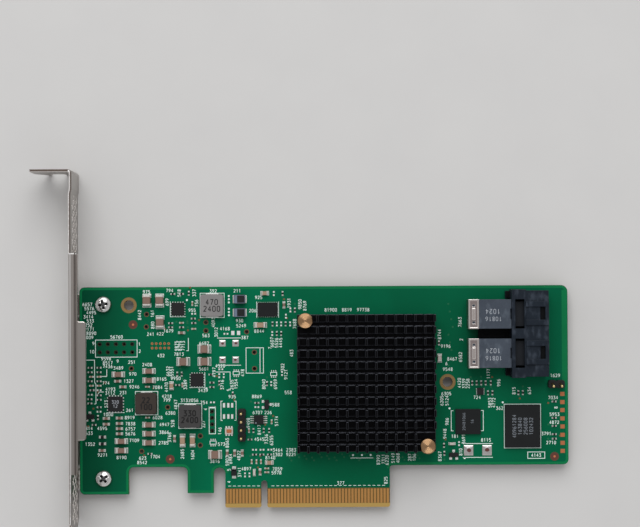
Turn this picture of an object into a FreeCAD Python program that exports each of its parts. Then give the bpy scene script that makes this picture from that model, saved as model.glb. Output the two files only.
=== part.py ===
import FreeCAD, Part
import math
import os

# A host bus adapter: a low-profile edge card on a full-height slot bracket, lying component side up.
# Millimetres. U runs along the card from its bracket edge, V runs up from the tongue's lower edge,
# and Z rises from the bracket's lower edge. The finished card is moved so that the middle of its
# footprint is the origin.

Vec = FreeCAD.Vector

# Board
BOARD_LENGTH = 152.4
BOARD_HEIGHT = 68.9
BOARD_THICK = 1.57
BOARD_Z = 2.4
BOARD_TOP = BOARD_Z + BOARD_THICK
CORNER_R = 1.6
FAR_CORNER_R = 2.1
LEFT_TAB_END = 15.3
LEFT_TAB_LOW = 4.3
WIDE_NOTCH_END = 33.6
WIDE_NOTCH_ROOF = 12.75
HOOK_END = 41.75
HOOK_LOW = 4.6
HOOK_NOTCH_ROOF = 12.5
HOOK_NOTCH_R = 1.75
SHOULDER_V = 13.0
SHOULDER_R = 1.0

# Edge tongue and its contacts
TONGUE_START = 45.35
TONGUE_END = 96.65
TONGUE_CORNER_R = 0.6
KEY_CENTRE = 57.5
KEY_WIDTH = 1.9
KEY_ROOF = 8.45
KEY_ROOF_FLAT = 0.04
BEVEL_RISE = 1.3
BEVEL_DEPTH = 0.45
FINGER_INSET = 0.65
FINGER_PITCH = 1.0
FINGER_WIDTH = 0.7
FINGER_LOW = 1.35
FINGER_HIGH = 5.8
FINGER_PLATE = 0.05
FINGERS_BEFORE_KEY = 11
FINGERS_AFTER_KEY = 38
KEY_SKIP = 3

# Drilled holes
MOUNT_HOLES = [(15.45, 63.25), (114.85, 38.85)]
MOUNT_HOLE_R = 1.55
PLATED_HOLE_R = 0.5
POST_SIDES = 12
TEN_HOLE_START = (6.3, 48.6)
HEADER_PITCH = 2.54
FOUR_HOLE_START = (41.3, 24.0)
FOUR_HOLE_PITCH = 2.0
TWO_HOLES = [(54.6, 43.3), (54.6, 48.4)]
TEST_HOLES = [(21.0, 60.4), (20.9, 56.5), (39.5, 57.8), (39.5, 55.2), (52.2, 54.8),
              (16.2, 43.5), (27.5, 31.4), (19.3, 17.7), (37.6, 22.4), (37.6, 19.5)]

# Slot bracket
SHEET = 0.86
BRACKET_WIDTH = 18.42
BRACKET_LENGTH = 120.0
BRACKET_TOP = 105.0
BRACKET_TIP = BRACKET_TOP - BRACKET_LENGTH
FACE_OUT = -1.66
FACE_IN = FACE_OUT + SHEET
JOGGLE_V = 97.4
JOGGLE_RISE = 1.6
JOGGLE_SHIFT = 0.3
JOGGLE_R = 0.6
BEND_IN_R = 0.4
TOP_TAB_END = -13.45
SCREW_NOTCH_WIDTH = 4.4
SCREW_NOTCH_U = -6.5
SCREW_NOTCH_DEPTH = 4.4
TAB_CORNER_CUT = (3.6, 8.0)
TIP_WIDTH = 10.2
TIP_LENGTH = 7.5
FLANGE_LOW = 11.7
FLANGE_HIGH = 79.4
FLANGE_REACH = 1.2
FLANGE_BEND_R = 1.0
FLANGE_CORNER_R = 0.9
LIP_LOW = 22.2
LIP_HIGH = 58.45
LIP_REACH = 3.7
LIP_CREASE_U = 0.45
LIP_DROP = 0.3
LIP_OVERLAP = 0.6
LIP_CORNER_R = 1.0
LIP_ROOT_R = 0.4
VENT_ACROSS = 2.5
VENT_PITCH = 3.54
VENT_LOW = -3.2
VENT_HIGH = 96.0
VENT_COLUMNS = 4
EAR_REACH = 11.4
EAR_HALF = 3.35
EAR_RELIEF = 0.5
EAR_CORNER_R = 1.0
COLLAR_R = 2.0
COLLAR_LOW = 0.72

# Bracket screws
SCREW_U = 7.5
SCREW_V = [9.3, 63.5]
SCREW_R = 1.42
SCREW_HEAD_R = 2.6
SCREW_HEAD_HEIGHT = 1.9
SCREW_HEAD_RIM = 0.95
SCREW_HEAD_FLAT_R = 1.56
SCREW_CLEAR = 0.18
SCREW_TIP = 0.55

# Heat sink and what it clamps
SINK_U = 89.4
SINK_V = 38.85
FIN_COLUMNS = 15
FIN_ROWS = 12
FIN_PITCH_U = 3.0
FIN_PITCH_V = 3.66
FIN_THICK = 0.8
FIN_RUN = 2.3
FIN_HEIGHT = 5.8
SINK_BASE = 2.4
CROSS_CUT_DEEPER = 0.5
CORNER_FINS = 2
PACKAGE = 27.0
PACKAGE_CAP = 23.0
SUBSTRATE_HEIGHT = 1.0
PACKAGE_HEIGHT = 2.0
PAD_SIZE = 22.0
PAD_HEIGHT = 0.4
SINK_Z = BOARD_TOP + PACKAGE_HEIGHT + PAD_HEIGHT
SINK_TOP = SINK_Z + SINK_BASE
SINK_LENGTH_U = (FIN_COLUMNS - 1) * FIN_PITCH_U + FIN_THICK
SINK_LENGTH_V = (FIN_ROWS - 1) * FIN_PITCH_V + FIN_RUN

# Push pins through two corners of the heat sink
PIN_OFFSET_U = 18.8
PIN_OFFSET_V = 19.35
PIN_SHAFT_R = 1.3
PIN_HEAD_R = 2.4
PIN_HEAD = 1.4
PIN_HEAD_EDGE = 0.25
PIN_BARB_R = 2.05
PIN_HOLE_R = 1.6
PIN_BARB = 0.9
PIN_BARB_GAP = 0.1
PIN_SPLIT = 0.6
SPRING_R = 1.95
SPRING_WIRE_R = 0.2
SPRING_HEIGHT = 2.4
SPRING_TURNS = 3
SPRING_CHORDS = 8
SPRING_CLEAR = 0.02
PIN_HEAD_Z = SINK_TOP + SPRING_HEIGHT
PINS = [(SINK_U - PIN_OFFSET_U, SINK_V + PIN_OFFSET_V), (SINK_U + PIN_OFFSET_U, SINK_V - PIN_OFFSET_V)]

# Twin cable socket at the right-hand end
PORTS_V = 54.0
PORT_PITCH = 12.1
PORT_CENTRES = [PORTS_V + PORT_PITCH / 2, PORTS_V - PORT_PITCH / 2]
HOUSING_U = (134.2, 145.6)
HOUSING_STEP_U = 138.5
HOUSING_HALF = 13.3
HOUSING_REAR_HALF = 13.65
HOUSING_HEIGHT = 8.6
CAVITY_HALF = 4.75
CAVITY_Z = (1.1, 7.1)
CAVITY_BACK = 135.1
LATCH_U = 138.5
LATCH_HALF = 3.7
LATCH_RAISE = 0.6
LATCH_SHIFT_V = 0.2
LATCH_PANEL = (138.5, 144.5, 2.0)
LATCH_PANEL_DEPTH = 0.55
LATCH_POCKET_U = 143.0
LATCH_POCKET_DEPTH = 1.25
WINDOW_U = (135.3, 138.1)
WINDOW_HALF = 4.5
REAR_LUG_U = 132.8
REAR_LUG_V = (10.9, 13.2)
REAR_LUG_HEIGHT = 3.0
WEB_U = 124.4
WEB_HEIGHT = 1.5
WEB_CLEAR = 0.05
BLOCK_U = 124.1
BLOCK_HALF = 4.5
BLOCK_HEIGHT = 8.1
BLOCK_SLOT = (0.45, 3.2, 0.8)
TAIL_U = 121.25
TAIL_HALF = 4.15
TAIL_HEIGHT = 7.85
NOSE_END = 140.4
NOSE_HALF = 3.9
NOSE_Z = (1.9, 6.3)
NOSE_CLEAR = 0.05
CARD_SLOT_Z = [2.6, 4.7]
CARD_SLOT_HEIGHT = 0.9
CARD_SLOT_HALF = 3.5
CARD_SLOT_DEPTH = 3.6
CLIP_U = 120.9
CLIP_HALF = 4.55
CLIP_HEIGHT = 8.25
CLIP_SHEET = 0.35
CLIP_RIM = 0.4
CLIP_DISH = 0.18
CLIP_TONGUE = (0.45, 1.7)
CLIP_SLOT = (0.8, 0.7, 2.6)
LOCK_U = 136.8
LOCK_V = [PORTS_V - PORT_PITCH, PORTS_V, PORTS_V + PORT_PITCH]
LOCK_R = 0.8
LOCK_FOOT_R = 1.5
LOCK_FOOT = 0.8

# Pin headers
HEADER_BODY = 2.5
HEADER_HEIGHT = 2.54
HEADER_CHAMFER = 0.4
HEADER_PIN = 0.64
FOUR_PIN_TOP = 8.5
TWO_PIN_TOP = 6.0
HEADER_PIN_TAIL = 1.0
FOUR_PIN_START = (50.65, 22.0)
TWO_PIN_START = (147.3, 38.1)
TWO_PIN_LEAN = 0.55

# Pressed inductors: place, then length along U and V
INDUCTOR_UPPER = (41.5, 63.1, 7.1, 6.9)
INDUCTOR_LEFT = (20.9, 32.7, 6.6, 6.6)
INDUCTOR_RIGHT = (34.5, 28.6, 6.8, 7.0)
INDUCTOR_HEIGHT = 3.0
INDUCTOR_NIP = 0.5
TERMINAL_SHARE = 0.45
TERMINAL_PROUD = 0.15
TERMINAL_RISE = 1.05

# Polymer capacitors
POLYMER_U = 50.1
POLYMER_V = [65.0, 60.8]
POLYMER_BODY = (3.5, 2.8, 1.9)
POLYMER_STRIP = (0.4, 2.2, 1.1)
POLYMER_STRIP_AT = 1.7

# Leadless chips: place, then length along U, along V and height
POWER_CONTROLLERS = [(30.8, 62.0, 4.0, 4.0, 0.9), (36.7, 39.9, 4.0, 4.0, 0.9)]
POWER_STAGE = (11.2, 32.5, 4.6, 4.7, 0.9)
REGULATOR = (58.8, 61.7, 6.2, 4.4, 0.9)
MEMORY_SMALL = (121.1, 26.5, 7.8, 7.8, 1.0)
MEMORY_LARGE = (138.1, 25.0, 11.0, 13.3, 1.0)
LOGIC_CHIP = (125.0, 35.9, 2.0, 2.1, 0.8)

# Leaded chips: place, body size, span over the leads, leads on a side and their pitch
SENSE_AMPLIFIER = (55.9, 27.4, (3.0, 3.0, 1.0), 4.8, 4, 0.65)
SERIAL_MEMORY = (100.6, 17.2, (3.9, 4.9, 1.55), 6.2, 4, 1.27)
INTERFACE_CHIP = (138.3, 35.6, (4.4, 6.5, 1.05), 6.4, 10, 0.65)
GATE_CHIP = (71.4, 63.2, (1.6, 2.9, 1.1), 2.8, 3, 0.95)
BODY_LIFT = 0.1
LEAD_THICK = 0.15
LEAD_WIDTH_SHARE = 0.4
LEAD_EXIT_SHARE = 0.5
LEAD_KNEE_SHARE = 0.35

# Three-lead transistors: place and turn in degrees
TRANSISTORS = [(58.4, 32.1, 0), (116.6, 16.2, 90), (3.2, 28.6, 90)]
TRANSISTOR_BODY = (1.3, 2.9, 1.0)
TRANSISTOR_LEAD = (0.5, 0.45, 0.5)
TRANSISTOR_LEAD_AT = 0.85
TRANSISTOR_LEAD_APART = 0.95

# Oscillator can and diode
OSCILLATOR = (46.6, 23.9)
OSCILLATOR_BASE = (2.5, 2.0, 0.5)
OSCILLATOR_LID = (2.1, 1.6, 0.25)
OSCILLATOR_LID_NIP = 0.3
DIODE = (48.1, 11.0)
DIODE_BODY = (1.7, 2.0, 1.05)
DIODE_STRAP = (0.9, 3.2, 0.35)

# Chip sizes: length, width, height
CHIP_1210 = (3.3, 2.5, 2.2)
CHIP_1206 = (3.2, 1.6, 1.5)
CHIP_0805 = (2.0, 1.25, 1.1)
CHIP_0603 = (1.6, 0.8, 0.8)
CAP_BAND = 0.22
CAP_PROUD = 0.04

# Chip places on the front, by the way each one lies
FRONT_1210_U = [(32.4, 45.6), (39.0, 49.5), (39.0, 45.6), (42.2, 16.6)]
FRONT_1210_V = [(21.1, 64.7), (25.1, 64.7), (25.2, 57.9)]
FRONT_1206_U = [(12.1, 41.7), (21.7, 42.7), (21.7, 39.8), (21.6, 26.0), (21.6, 23.2), (21.6, 20.4),
                (13.0, 20.9), (13.0, 18.0), (56.5, 56.9)]
FRONT_1206_V = [(32.1, 21.0), (35.2, 21.0)]
FRONT_0805_U = [(57.9, 66.8), (59.1, 14.0)]
FRONT_0805_V = [(28.7, 38.1), (112.4, 46.3)]
FRONT_0603_U = [(11.9, 39.6), (13.5, 37.8), (31.9, 54.6), (8.3, 28.0), (8.3, 26.2), (12.4, 28.1),
                (12.4, 26.4), (12.4, 24.8), (12.4, 23.2), (7.1, 22.2), (7.1, 20.1), (7.0, 18.0),
                (116.1, 19.6)]
FRONT_0603_V = [(29.6, 21.6), (63.9, 63.1), (46.0, 17.0), (48.3, 17.0), (50.7, 17.0), (54.4, 10.9),
                (56.2, 11.1)]

# Chip places on the back, in the same U and V
BACK_1206_U = [(21.2, 43.0), (21.2, 40.0), (21.2, 35.7), (21.2, 26.4), (21.2, 20.6), (12.6, 24.6)]
BACK_1206_V = [(61.0, 52.0), (53.5, 34.6), (100.0, 54.4)]
BACK_0805_U = [(71.3, 46.6), (107.4, 55.2), (105.0, 46.0), (105.0, 44.2), (110.2, 41.5), (110.1, 39.5),
               (105.2, 35.1)]
BACK_0805_V = [(62.8, 57.4), (72.1, 52.0), (64.0, 52.0), (60.9, 45.9), (56.4, 35.0), (96.8, 54.4),
               (84.7, 23.4)]
BEADS_U = [(104.9, 49.8), (110.2, 43.7), (104.9, 38.8)]
BEADS_V = [(65.0, 57.4), (68.4, 52.0), (58.0, 52.0), (58.7, 45.9), (54.1, 39.6), (102.9, 54.6), (82.3, 23.4)]
BACK_0603_U = [(8.2, 57.9), (7.9, 15.8), (76.7, 55.0), (105.0, 33.5)]
BACK_0603_V = [(60.9, 57.4), (74.1, 52.0), (54.6, 52.0), (66.1, 47.4), (62.7, 45.9), (50.4, 17.0),
               (45.7, 17.0), (77.1, 57.4), (86.9, 23.4), (103.9, 29.2), (103.9, 23.5)]

# Labels on the back: U range, V range
LABELS = {
    "address_label": (29.9, 52.9, 60.8, 65.7),
    "assembly_label": (90.8, 116.0, 60.5, 65.6),
    "serial_label": (139.1, 144.4, 42.3, 67.5),
    "blank_label": (30.4, 35.6, 16.1, 32.9),
}
LABEL_THICK = 0.1

FRONT = 1
BACK = -1


def box(u0, u1, v0, v1, z0, z1):
    return Part.makeBox(u1 - u0, v1 - v0, z1 - z0, Vec(u0, v0, z0))


def block(u, v, length_u, length_v, z0, z1):
    return box(u - length_u / 2, u + length_u / 2, v - length_v / 2, v + length_v / 2, z0, z1)


def rod(u, v, radius, z0, z1):
    return Part.makeCylinder(radius, z1 - z0, Vec(u, v, z0))


def ring(u, v, z, radius, sides):
    """A level polygon with its corners on a circle."""
    turns = [2 * math.pi * (k + 0.5) / sides for k in range(sides)]
    corners = [Vec(u + radius * math.cos(a), v + radius * math.sin(a), z) for a in turns]
    return Part.makePolygon(corners + corners[:1])


def peg(u, v, radius, z0, z1, sides=6):
    """A many-sided stand-in for a small plated hole or post, with few faces because it repeats."""
    return Part.Face(ring(u, v, z0, radius, sides)).extrude(Vec(0, 0, z1 - z0))


def outline_face(points):
    """A flat face from corners (u, v, radius), each corner rounded by its radius."""
    corners = [Vec(u, v, 0) for u, v, radius in points]
    edges = []
    first = None
    last = None
    for i, (u, v, radius) in enumerate(points):
        here = corners[i]
        back = (corners[i - 1] - here).normalize()
        ahead = (corners[(i + 1) % len(corners)] - here).normalize()
        start = here
        end = here
        arc = None
        if radius > 0:
            half = back.getAngle(ahead) / 2
            start = here + back * (radius / math.tan(half))
            end = here + ahead * (radius / math.tan(half))
            middle = here + (back + ahead).normalize() * (radius / math.sin(half) - radius)
            arc = Part.Arc(start, middle, end).toShape()
        if last is None:
            first = start
        else:
            edges.append(Part.makeLine(last, start))
        if arc:
            edges.append(arc)
        last = end
    edges.append(Part.makeLine(last, first))
    return Part.Face(Part.Wire(edges))


def plate(points, z0, z1):
    face = outline_face(points)
    face.translate(Vec(0, 0, z0))
    return face.extrude(Vec(0, 0, z1 - z0))


def nipped(u, v, length_u, length_v, nip):
    """The corners of a rectangle with its corners cut off at 45 degrees."""
    a = length_u / 2
    b = length_v / 2
    corners = [(a - nip, -b), (a, nip - b), (a, b - nip), (a - nip, b),
               (nip - a, b), (-a, b - nip), (-a, nip - b), (nip - a, -b)]
    return [(u + along, v + across, 0) for along, across in corners]


def prism_along_u(section, u0, u1):
    """A straight bar along U from (v, z) corners."""
    corners = [Vec(u0, v, z) for v, z in section]
    face = Part.Face(Part.makePolygon(corners + corners[:1]))
    return face.extrude(Vec(u1 - u0, 0, 0))


def prism_along_v(section, v0, v1):
    """A straight bar along V from (u, z) corners."""
    corners = [Vec(u, v0, z) for u, z in section]
    face = Part.Face(Part.makePolygon(corners + corners[:1]))
    return face.extrude(Vec(0, v1 - v0, 0))


def turned(u, v, z, profile):
    """A turned piece about an upright axis from (radius, height) corners."""
    corners = [Vec(u + radius, v, z + height) for radius, height in profile]
    face = Part.Face(Part.makePolygon(corners + corners[:1]))
    return face.revolve(Vec(u, v, z), Vec(0, 0, 1), 360)


def seat(shape, side):
    """Sets a piece built upwards from zero onto the board's front, or turned over onto its back."""
    if side == BACK:
        shape = shape.mirror(Vec(0, 0, 0), Vec(0, 0, 1))
        shape.translate(Vec(0, 0, BOARD_Z))
    else:
        shape.translate(Vec(0, 0, BOARD_TOP))
    return shape


def group(shapes):
    return Part.makeCompound(shapes)


def header_row(start, count, pitch, step_u, step_v):
    return [(start[0] + i * pitch * step_u, start[1] + i * pitch * step_v) for i in range(count)]


def ten_holes():
    upper = (TEN_HOLE_START[0], TEN_HOLE_START[1] + HEADER_PITCH)
    return header_row(TEN_HOLE_START, 5, HEADER_PITCH, 1, 0) + header_row(upper, 5, HEADER_PITCH, 1, 0)


def four_pins():
    return header_row(FOUR_PIN_START, 4, HEADER_PITCH, 0, 1)


def two_pins():
    return header_row(TWO_PIN_START, 2, HEADER_PITCH, 1, 0)


def board_outline():
    key_left = KEY_CENTRE - KEY_WIDTH / 2
    key_right = KEY_CENTRE + KEY_WIDTH / 2
    key_r = (KEY_WIDTH - KEY_ROOF_FLAT) / 2
    return [
        (0, LEFT_TAB_LOW, CORNER_R), (LEFT_TAB_END, LEFT_TAB_LOW, 0),
        (LEFT_TAB_END, WIDE_NOTCH_ROOF, CORNER_R), (WIDE_NOTCH_END, WIDE_NOTCH_ROOF, CORNER_R),
        (WIDE_NOTCH_END, HOOK_LOW, 0), (HOOK_END, HOOK_LOW, 0),
        (HOOK_END, HOOK_NOTCH_ROOF, HOOK_NOTCH_R), (TONGUE_START, HOOK_NOTCH_ROOF, HOOK_NOTCH_R),
        (TONGUE_START, 0, TONGUE_CORNER_R), (key_left, 0, TONGUE_CORNER_R),
        (key_left, KEY_ROOF, key_r), (key_right, KEY_ROOF, key_r),
        (key_right, 0, TONGUE_CORNER_R), (TONGUE_END, 0, TONGUE_CORNER_R),
        (TONGUE_END, SHOULDER_V, SHOULDER_R), (BOARD_LENGTH, SHOULDER_V, CORNER_R),
        (BOARD_LENGTH, BOARD_HEIGHT, FAR_CORNER_R), (0, BOARD_HEIGHT, CORNER_R),
    ]


def board():
    slab = plate(board_outline(), BOARD_Z, BOARD_TOP)
    lower_bevel = [(0, BOARD_Z), (BEVEL_RISE, BOARD_Z), (0, BOARD_Z + BEVEL_DEPTH)]
    upper_bevel = [(0, BOARD_TOP), (BEVEL_RISE, BOARD_TOP), (0, BOARD_TOP - BEVEL_DEPTH)]
    cuts = [prism_along_u(bevel, TONGUE_START, TONGUE_END) for bevel in (lower_bevel, upper_bevel)]
    cuts += [rod(u, v, MOUNT_HOLE_R, BOARD_Z, BOARD_TOP) for u, v in MOUNT_HOLES]
    cuts += [peg(SCREW_U, v, SCREW_R + SCREW_CLEAR, BOARD_Z, BOARD_TOP, POST_SIDES) for v in SCREW_V]
    cuts += [peg(u, v, PIN_HOLE_R, BOARD_Z, BOARD_TOP, POST_SIDES) for u, v in PINS]
    cuts += [peg(LOCK_U, v, LOCK_R, BOARD_Z, BOARD_TOP) for v in LOCK_V]
    plated = ten_holes() + header_row(FOUR_HOLE_START, 4, FOUR_HOLE_PITCH, 0, 1) + TWO_HOLES + TEST_HOLES
    cuts += [peg(u, v, PLATED_HOLE_R, BOARD_Z, BOARD_TOP) for u, v in plated]
    cuts += [block(u, v, HEADER_PIN, HEADER_PIN, BOARD_Z, BOARD_TOP) for u, v in four_pins() + two_pins()]
    return slab.cut(cuts)


def finger_centres():
    first = TONGUE_START + FINGER_INSET
    before = [first + i * FINGER_PITCH for i in range(FINGERS_BEFORE_KEY)]
    restart = before[-1] + KEY_SKIP * FINGER_PITCH
    return before + [restart + i * FINGER_PITCH for i in range(FINGERS_AFTER_KEY)]


def edge_contacts(side):
    middle = (FINGER_LOW + FINGER_HIGH) / 2
    reach = FINGER_HIGH - FINGER_LOW
    fingers = [block(u, middle, FINGER_WIDTH, reach, 0, FINGER_PLATE) for u in finger_centres()]
    return group([seat(finger, side) for finger in fingers])


def edge_contacts_front():
    return edge_contacts(FRONT)


def edge_contacts_back():
    return edge_contacts(BACK)


def bracket_strip():
    """The long face with its joggle and the mounting tab bent outwards at the top."""
    upper_out = FACE_OUT + JOGGLE_SHIFT
    upper_in = FACE_IN + JOGGLE_SHIFT
    joggle_end = JOGGLE_V + JOGGLE_RISE
    under = BRACKET_TOP - SHEET
    return plate([
        (FACE_OUT, BRACKET_TIP, 0), (FACE_IN, BRACKET_TIP, 0),
        (FACE_IN, JOGGLE_V, JOGGLE_R), (upper_in, joggle_end, JOGGLE_R),
        (upper_in, BRACKET_TOP, BEND_IN_R + SHEET), (TOP_TAB_END, BRACKET_TOP, 0),
        (TOP_TAB_END, under, 0), (upper_out, under, BEND_IN_R),
        (upper_out, joggle_end, JOGGLE_R), (FACE_OUT, JOGGLE_V, JOGGLE_R),
    ], 0, BRACKET_WIDTH)


def vent_holes():
    """Six-sided vents in staggered columns along the bracket's face."""
    column_step = VENT_PITCH * math.cos(math.radians(30))
    first_z = BRACKET_WIDTH / 2 - (VENT_COLUMNS - 1) / 2 * column_step
    corner_r = VENT_ACROSS / 2 / math.cos(math.radians(30))
    holes = []
    for column in range(VENT_COLUMNS):
        z = first_z + column * column_step
        v = VENT_LOW + (column % 2) * VENT_PITCH / 2
        while v < VENT_HIGH:
            turns = [math.radians(60 * k) for k in range(6)]
            section = [(v + corner_r * math.sin(a), z + corner_r * math.cos(a)) for a in turns]
            holes.append(prism_along_u(section, FACE_OUT - SHEET, FACE_IN + SHEET))
            v += VENT_PITCH
    return holes


def outer_bend(u, z, radius, v0, v1, up):
    """What is shaved off a square corner at (u, z) to leave the round outside of a bend."""
    z_far = z - radius * up
    square = box(u, u + radius, v0, v1, min(z, z_far), max(z, z_far))
    return square.cut(Part.makeCylinder(radius, v1 - v0, Vec(u + radius, v0, z_far), Vec(0, 1, 0)))


def flange():
    """The top edge folded over the board, and its lip pressed down along a crease."""
    fold = box(FACE_OUT, LIP_CREASE_U, FLANGE_LOW, FLANGE_HIGH, BRACKET_WIDTH - SHEET, BRACKET_WIDTH)
    root = LIP_CREASE_U - LIP_OVERLAP
    lip = plate([
        (root, FLANGE_LOW, 0), (FLANGE_REACH, FLANGE_LOW, FLANGE_CORNER_R),
        (FLANGE_REACH, LIP_LOW, LIP_ROOT_R), (LIP_REACH, LIP_LOW, LIP_CORNER_R),
        (LIP_REACH, LIP_HIGH, LIP_CORNER_R), (FLANGE_REACH, LIP_HIGH, LIP_ROOT_R),
        (FLANGE_REACH, FLANGE_HIGH, FLANGE_CORNER_R), (root, FLANGE_HIGH, 0),
    ], BRACKET_WIDTH - LIP_DROP - SHEET, BRACKET_WIDTH - LIP_DROP)
    return [fold, lip]


def bracket():
    body = bracket_strip()
    ear_z = BOARD_Z - SHEET
    added = flange()
    cuts = vent_holes()
    cuts.append(outer_bend(FACE_OUT, BRACKET_WIDTH, FLANGE_BEND_R, FLANGE_LOW, FLANGE_HIGH, 1))
    reliefs = []
    for v in SCREW_V:
        low = v - EAR_HALF
        high = v + EAR_HALF
        reliefs.append(box(FACE_OUT, FACE_IN, low - EAR_RELIEF, high + EAR_RELIEF, 0, BOARD_Z))
        added.append(plate([(FACE_OUT, low, 0), (EAR_REACH, low, EAR_CORNER_R),
                            (EAR_REACH, high, EAR_CORNER_R), (FACE_OUT, high, 0)], ear_z, BOARD_Z))
        added.append(box(FACE_OUT, FACE_IN, low, high, BOARD_Z, BOARD_Z + SHEET))
        added.append(peg(SCREW_U, v, COLLAR_R, COLLAR_LOW, ear_z, POST_SIDES))
        cuts.append(peg(SCREW_U, v, SCREW_R + SCREW_CLEAR, 0, BOARD_Z, POST_SIDES))
        cuts.append(outer_bend(FACE_OUT, ear_z, SHEET, low, high, -1))
    notch_r = SCREW_NOTCH_WIDTH / 2
    notch_z = SCREW_NOTCH_DEPTH
    cuts.append(box(SCREW_NOTCH_U - notch_r, SCREW_NOTCH_U + notch_r,
                    BRACKET_TOP - 2 * SHEET, BRACKET_TOP, 0, notch_z))
    cuts.append(Part.makeCylinder(notch_r, 2 * SHEET,
                                  Vec(SCREW_NOTCH_U, BRACKET_TOP - 2 * SHEET, notch_z), Vec(0, 1, 0)))
    cut_u, cut_z = TAB_CORNER_CUT
    cuts.append(prism_along_v([(TOP_TAB_END, 0), (TOP_TAB_END + cut_u, 0), (TOP_TAB_END, cut_z)],
                              BRACKET_TOP - 2 * SHEET, BRACKET_TOP))
    cuts += tip_tapers()
    return body.cut(reliefs).multiFuse(added).cut(cuts).removeSplitter()


def tip_tapers():
    """The two side cuts that narrow the bracket's lower end."""
    side = (BRACKET_WIDTH - TIP_WIDTH) / 2
    neck = BRACKET_TIP + TIP_LENGTH
    low_side = [(BRACKET_TIP, 0), (neck + side, 0), (neck, side), (BRACKET_TIP, side)]
    high_side = [(v, BRACKET_WIDTH - z) for v, z in low_side]
    return [prism_along_u(section, FACE_OUT - SHEET, FACE_IN + SHEET) for section in (low_side, high_side)]


def bracket_screw(v):
    head = turned(SCREW_U, v, BOARD_TOP, [
        (0, 0), (SCREW_HEAD_R, 0), (SCREW_HEAD_R, SCREW_HEAD_RIM),
        (SCREW_HEAD_FLAT_R, SCREW_HEAD_HEIGHT), (0, SCREW_HEAD_HEIGHT),
    ])
    return head.fuse(peg(SCREW_U, v, SCREW_R, SCREW_TIP, BOARD_TOP, POST_SIDES))


def bracket_screws():
    return group([bracket_screw(v) for v in SCREW_V])


def heat_sink():
    """An extruded comb of fins, sawn across into pins, with two corners cleared for the push pins."""
    left = SINK_U - SINK_LENGTH_U / 2
    low = SINK_V - SINK_LENGTH_V / 2
    high = low + SINK_LENGTH_V
    fin_top = SINK_TOP + FIN_HEIGHT
    comb = [(left + SINK_LENGTH_U, SINK_Z), (left, SINK_Z)]
    for column in range(FIN_COLUMNS):
        u = left + column * FIN_PITCH_U
        comb += [(u, fin_top), (u + FIN_THICK, fin_top)]
        if column < FIN_COLUMNS - 1:
            comb += [(u + FIN_THICK, SINK_TOP), (u + FIN_PITCH_U, SINK_TOP)]
    body = prism_along_v(comb, low, high)
    cuts = []
    for row in range(FIN_ROWS - 1):
        v = low + row * FIN_PITCH_V + FIN_RUN
        cuts.append(box(left, left + SINK_LENGTH_U, v, v + FIN_PITCH_V - FIN_RUN,
                        SINK_TOP - CROSS_CUT_DEEPER, fin_top))
    clear_u = CORNER_FINS * FIN_PITCH_U - FIN_THICK
    clear_v = CORNER_FINS * FIN_PITCH_V - (FIN_PITCH_V - FIN_RUN) / 2
    cuts.append(box(left, left + clear_u, high - clear_v, high, SINK_TOP, fin_top))
    cuts.append(box(left + SINK_LENGTH_U - clear_u, left + SINK_LENGTH_U, low, low + clear_v,
                    SINK_TOP, fin_top))
    cuts += [peg(u, v, PIN_HOLE_R, SINK_Z, SINK_TOP, POST_SIDES) for u, v in PINS]
    return body.cut(cuts)


def push_pin(u, v):
    """A turned head on a shaft that ends in a split, stepped barb under the board."""
    head = turned(u, v, PIN_HEAD_Z, [
        (0, 0), (PIN_HEAD_R, 0), (PIN_HEAD_R, PIN_HEAD - PIN_HEAD_EDGE),
        (PIN_HEAD_R - PIN_HEAD_EDGE, PIN_HEAD), (0, PIN_HEAD),
    ])
    barb_top = BOARD_Z - PIN_BARB_GAP
    shaft = peg(u, v, PIN_SHAFT_R, 0, PIN_HEAD_Z, POST_SIDES)
    barb = peg(u, v, PIN_BARB_R, barb_top - PIN_BARB, barb_top, POST_SIDES)
    return head.multiFuse([shaft, barb]).cut(block(u, v, 2 * PIN_BARB_R, PIN_SPLIT, 0, BOARD_TOP))


def push_pins():
    return group([push_pin(u, v) for u, v in PINS])


def pin_spring(u, v):
    """A coil of square wire, swept along straight chords to keep its faces few."""
    half = SPRING_WIRE_R
    steps = SPRING_TURNS * SPRING_CHORDS
    rise = (SPRING_HEIGHT - 2 * half - 2 * SPRING_CLEAR) / steps
    start = SINK_TOP + half + SPRING_CLEAR
    rings = []
    for k in range(steps + 1):
        turn = 2 * math.pi * k / SPRING_CHORDS
        out = Vec(math.cos(turn), math.sin(turn), 0)
        middle = Vec(u, v, start + k * rise) + out * SPRING_R
        up = Vec(0, 0, half)
        corners = [middle - out * half - up, middle + out * half - up,
                   middle + out * half + up, middle - out * half + up]
        rings.append(Part.makePolygon(corners + corners[:1]))
    return Part.makeLoft(rings, True, True)


def pin_springs():
    return group([pin_spring(u, v) for u, v in PINS])


def controller_package():
    substrate = block(SINK_U, SINK_V, PACKAGE, PACKAGE, BOARD_TOP, BOARD_TOP + SUBSTRATE_HEIGHT)
    cap = block(SINK_U, SINK_V, PACKAGE_CAP, PACKAGE_CAP,
                BOARD_TOP + SUBSTRATE_HEIGHT, BOARD_TOP + PACKAGE_HEIGHT)
    return substrate.fuse(cap)


def thermal_pad():
    return block(SINK_U, SINK_V, PAD_SIZE, PAD_SIZE, BOARD_TOP + PACKAGE_HEIGHT, SINK_Z)


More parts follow.
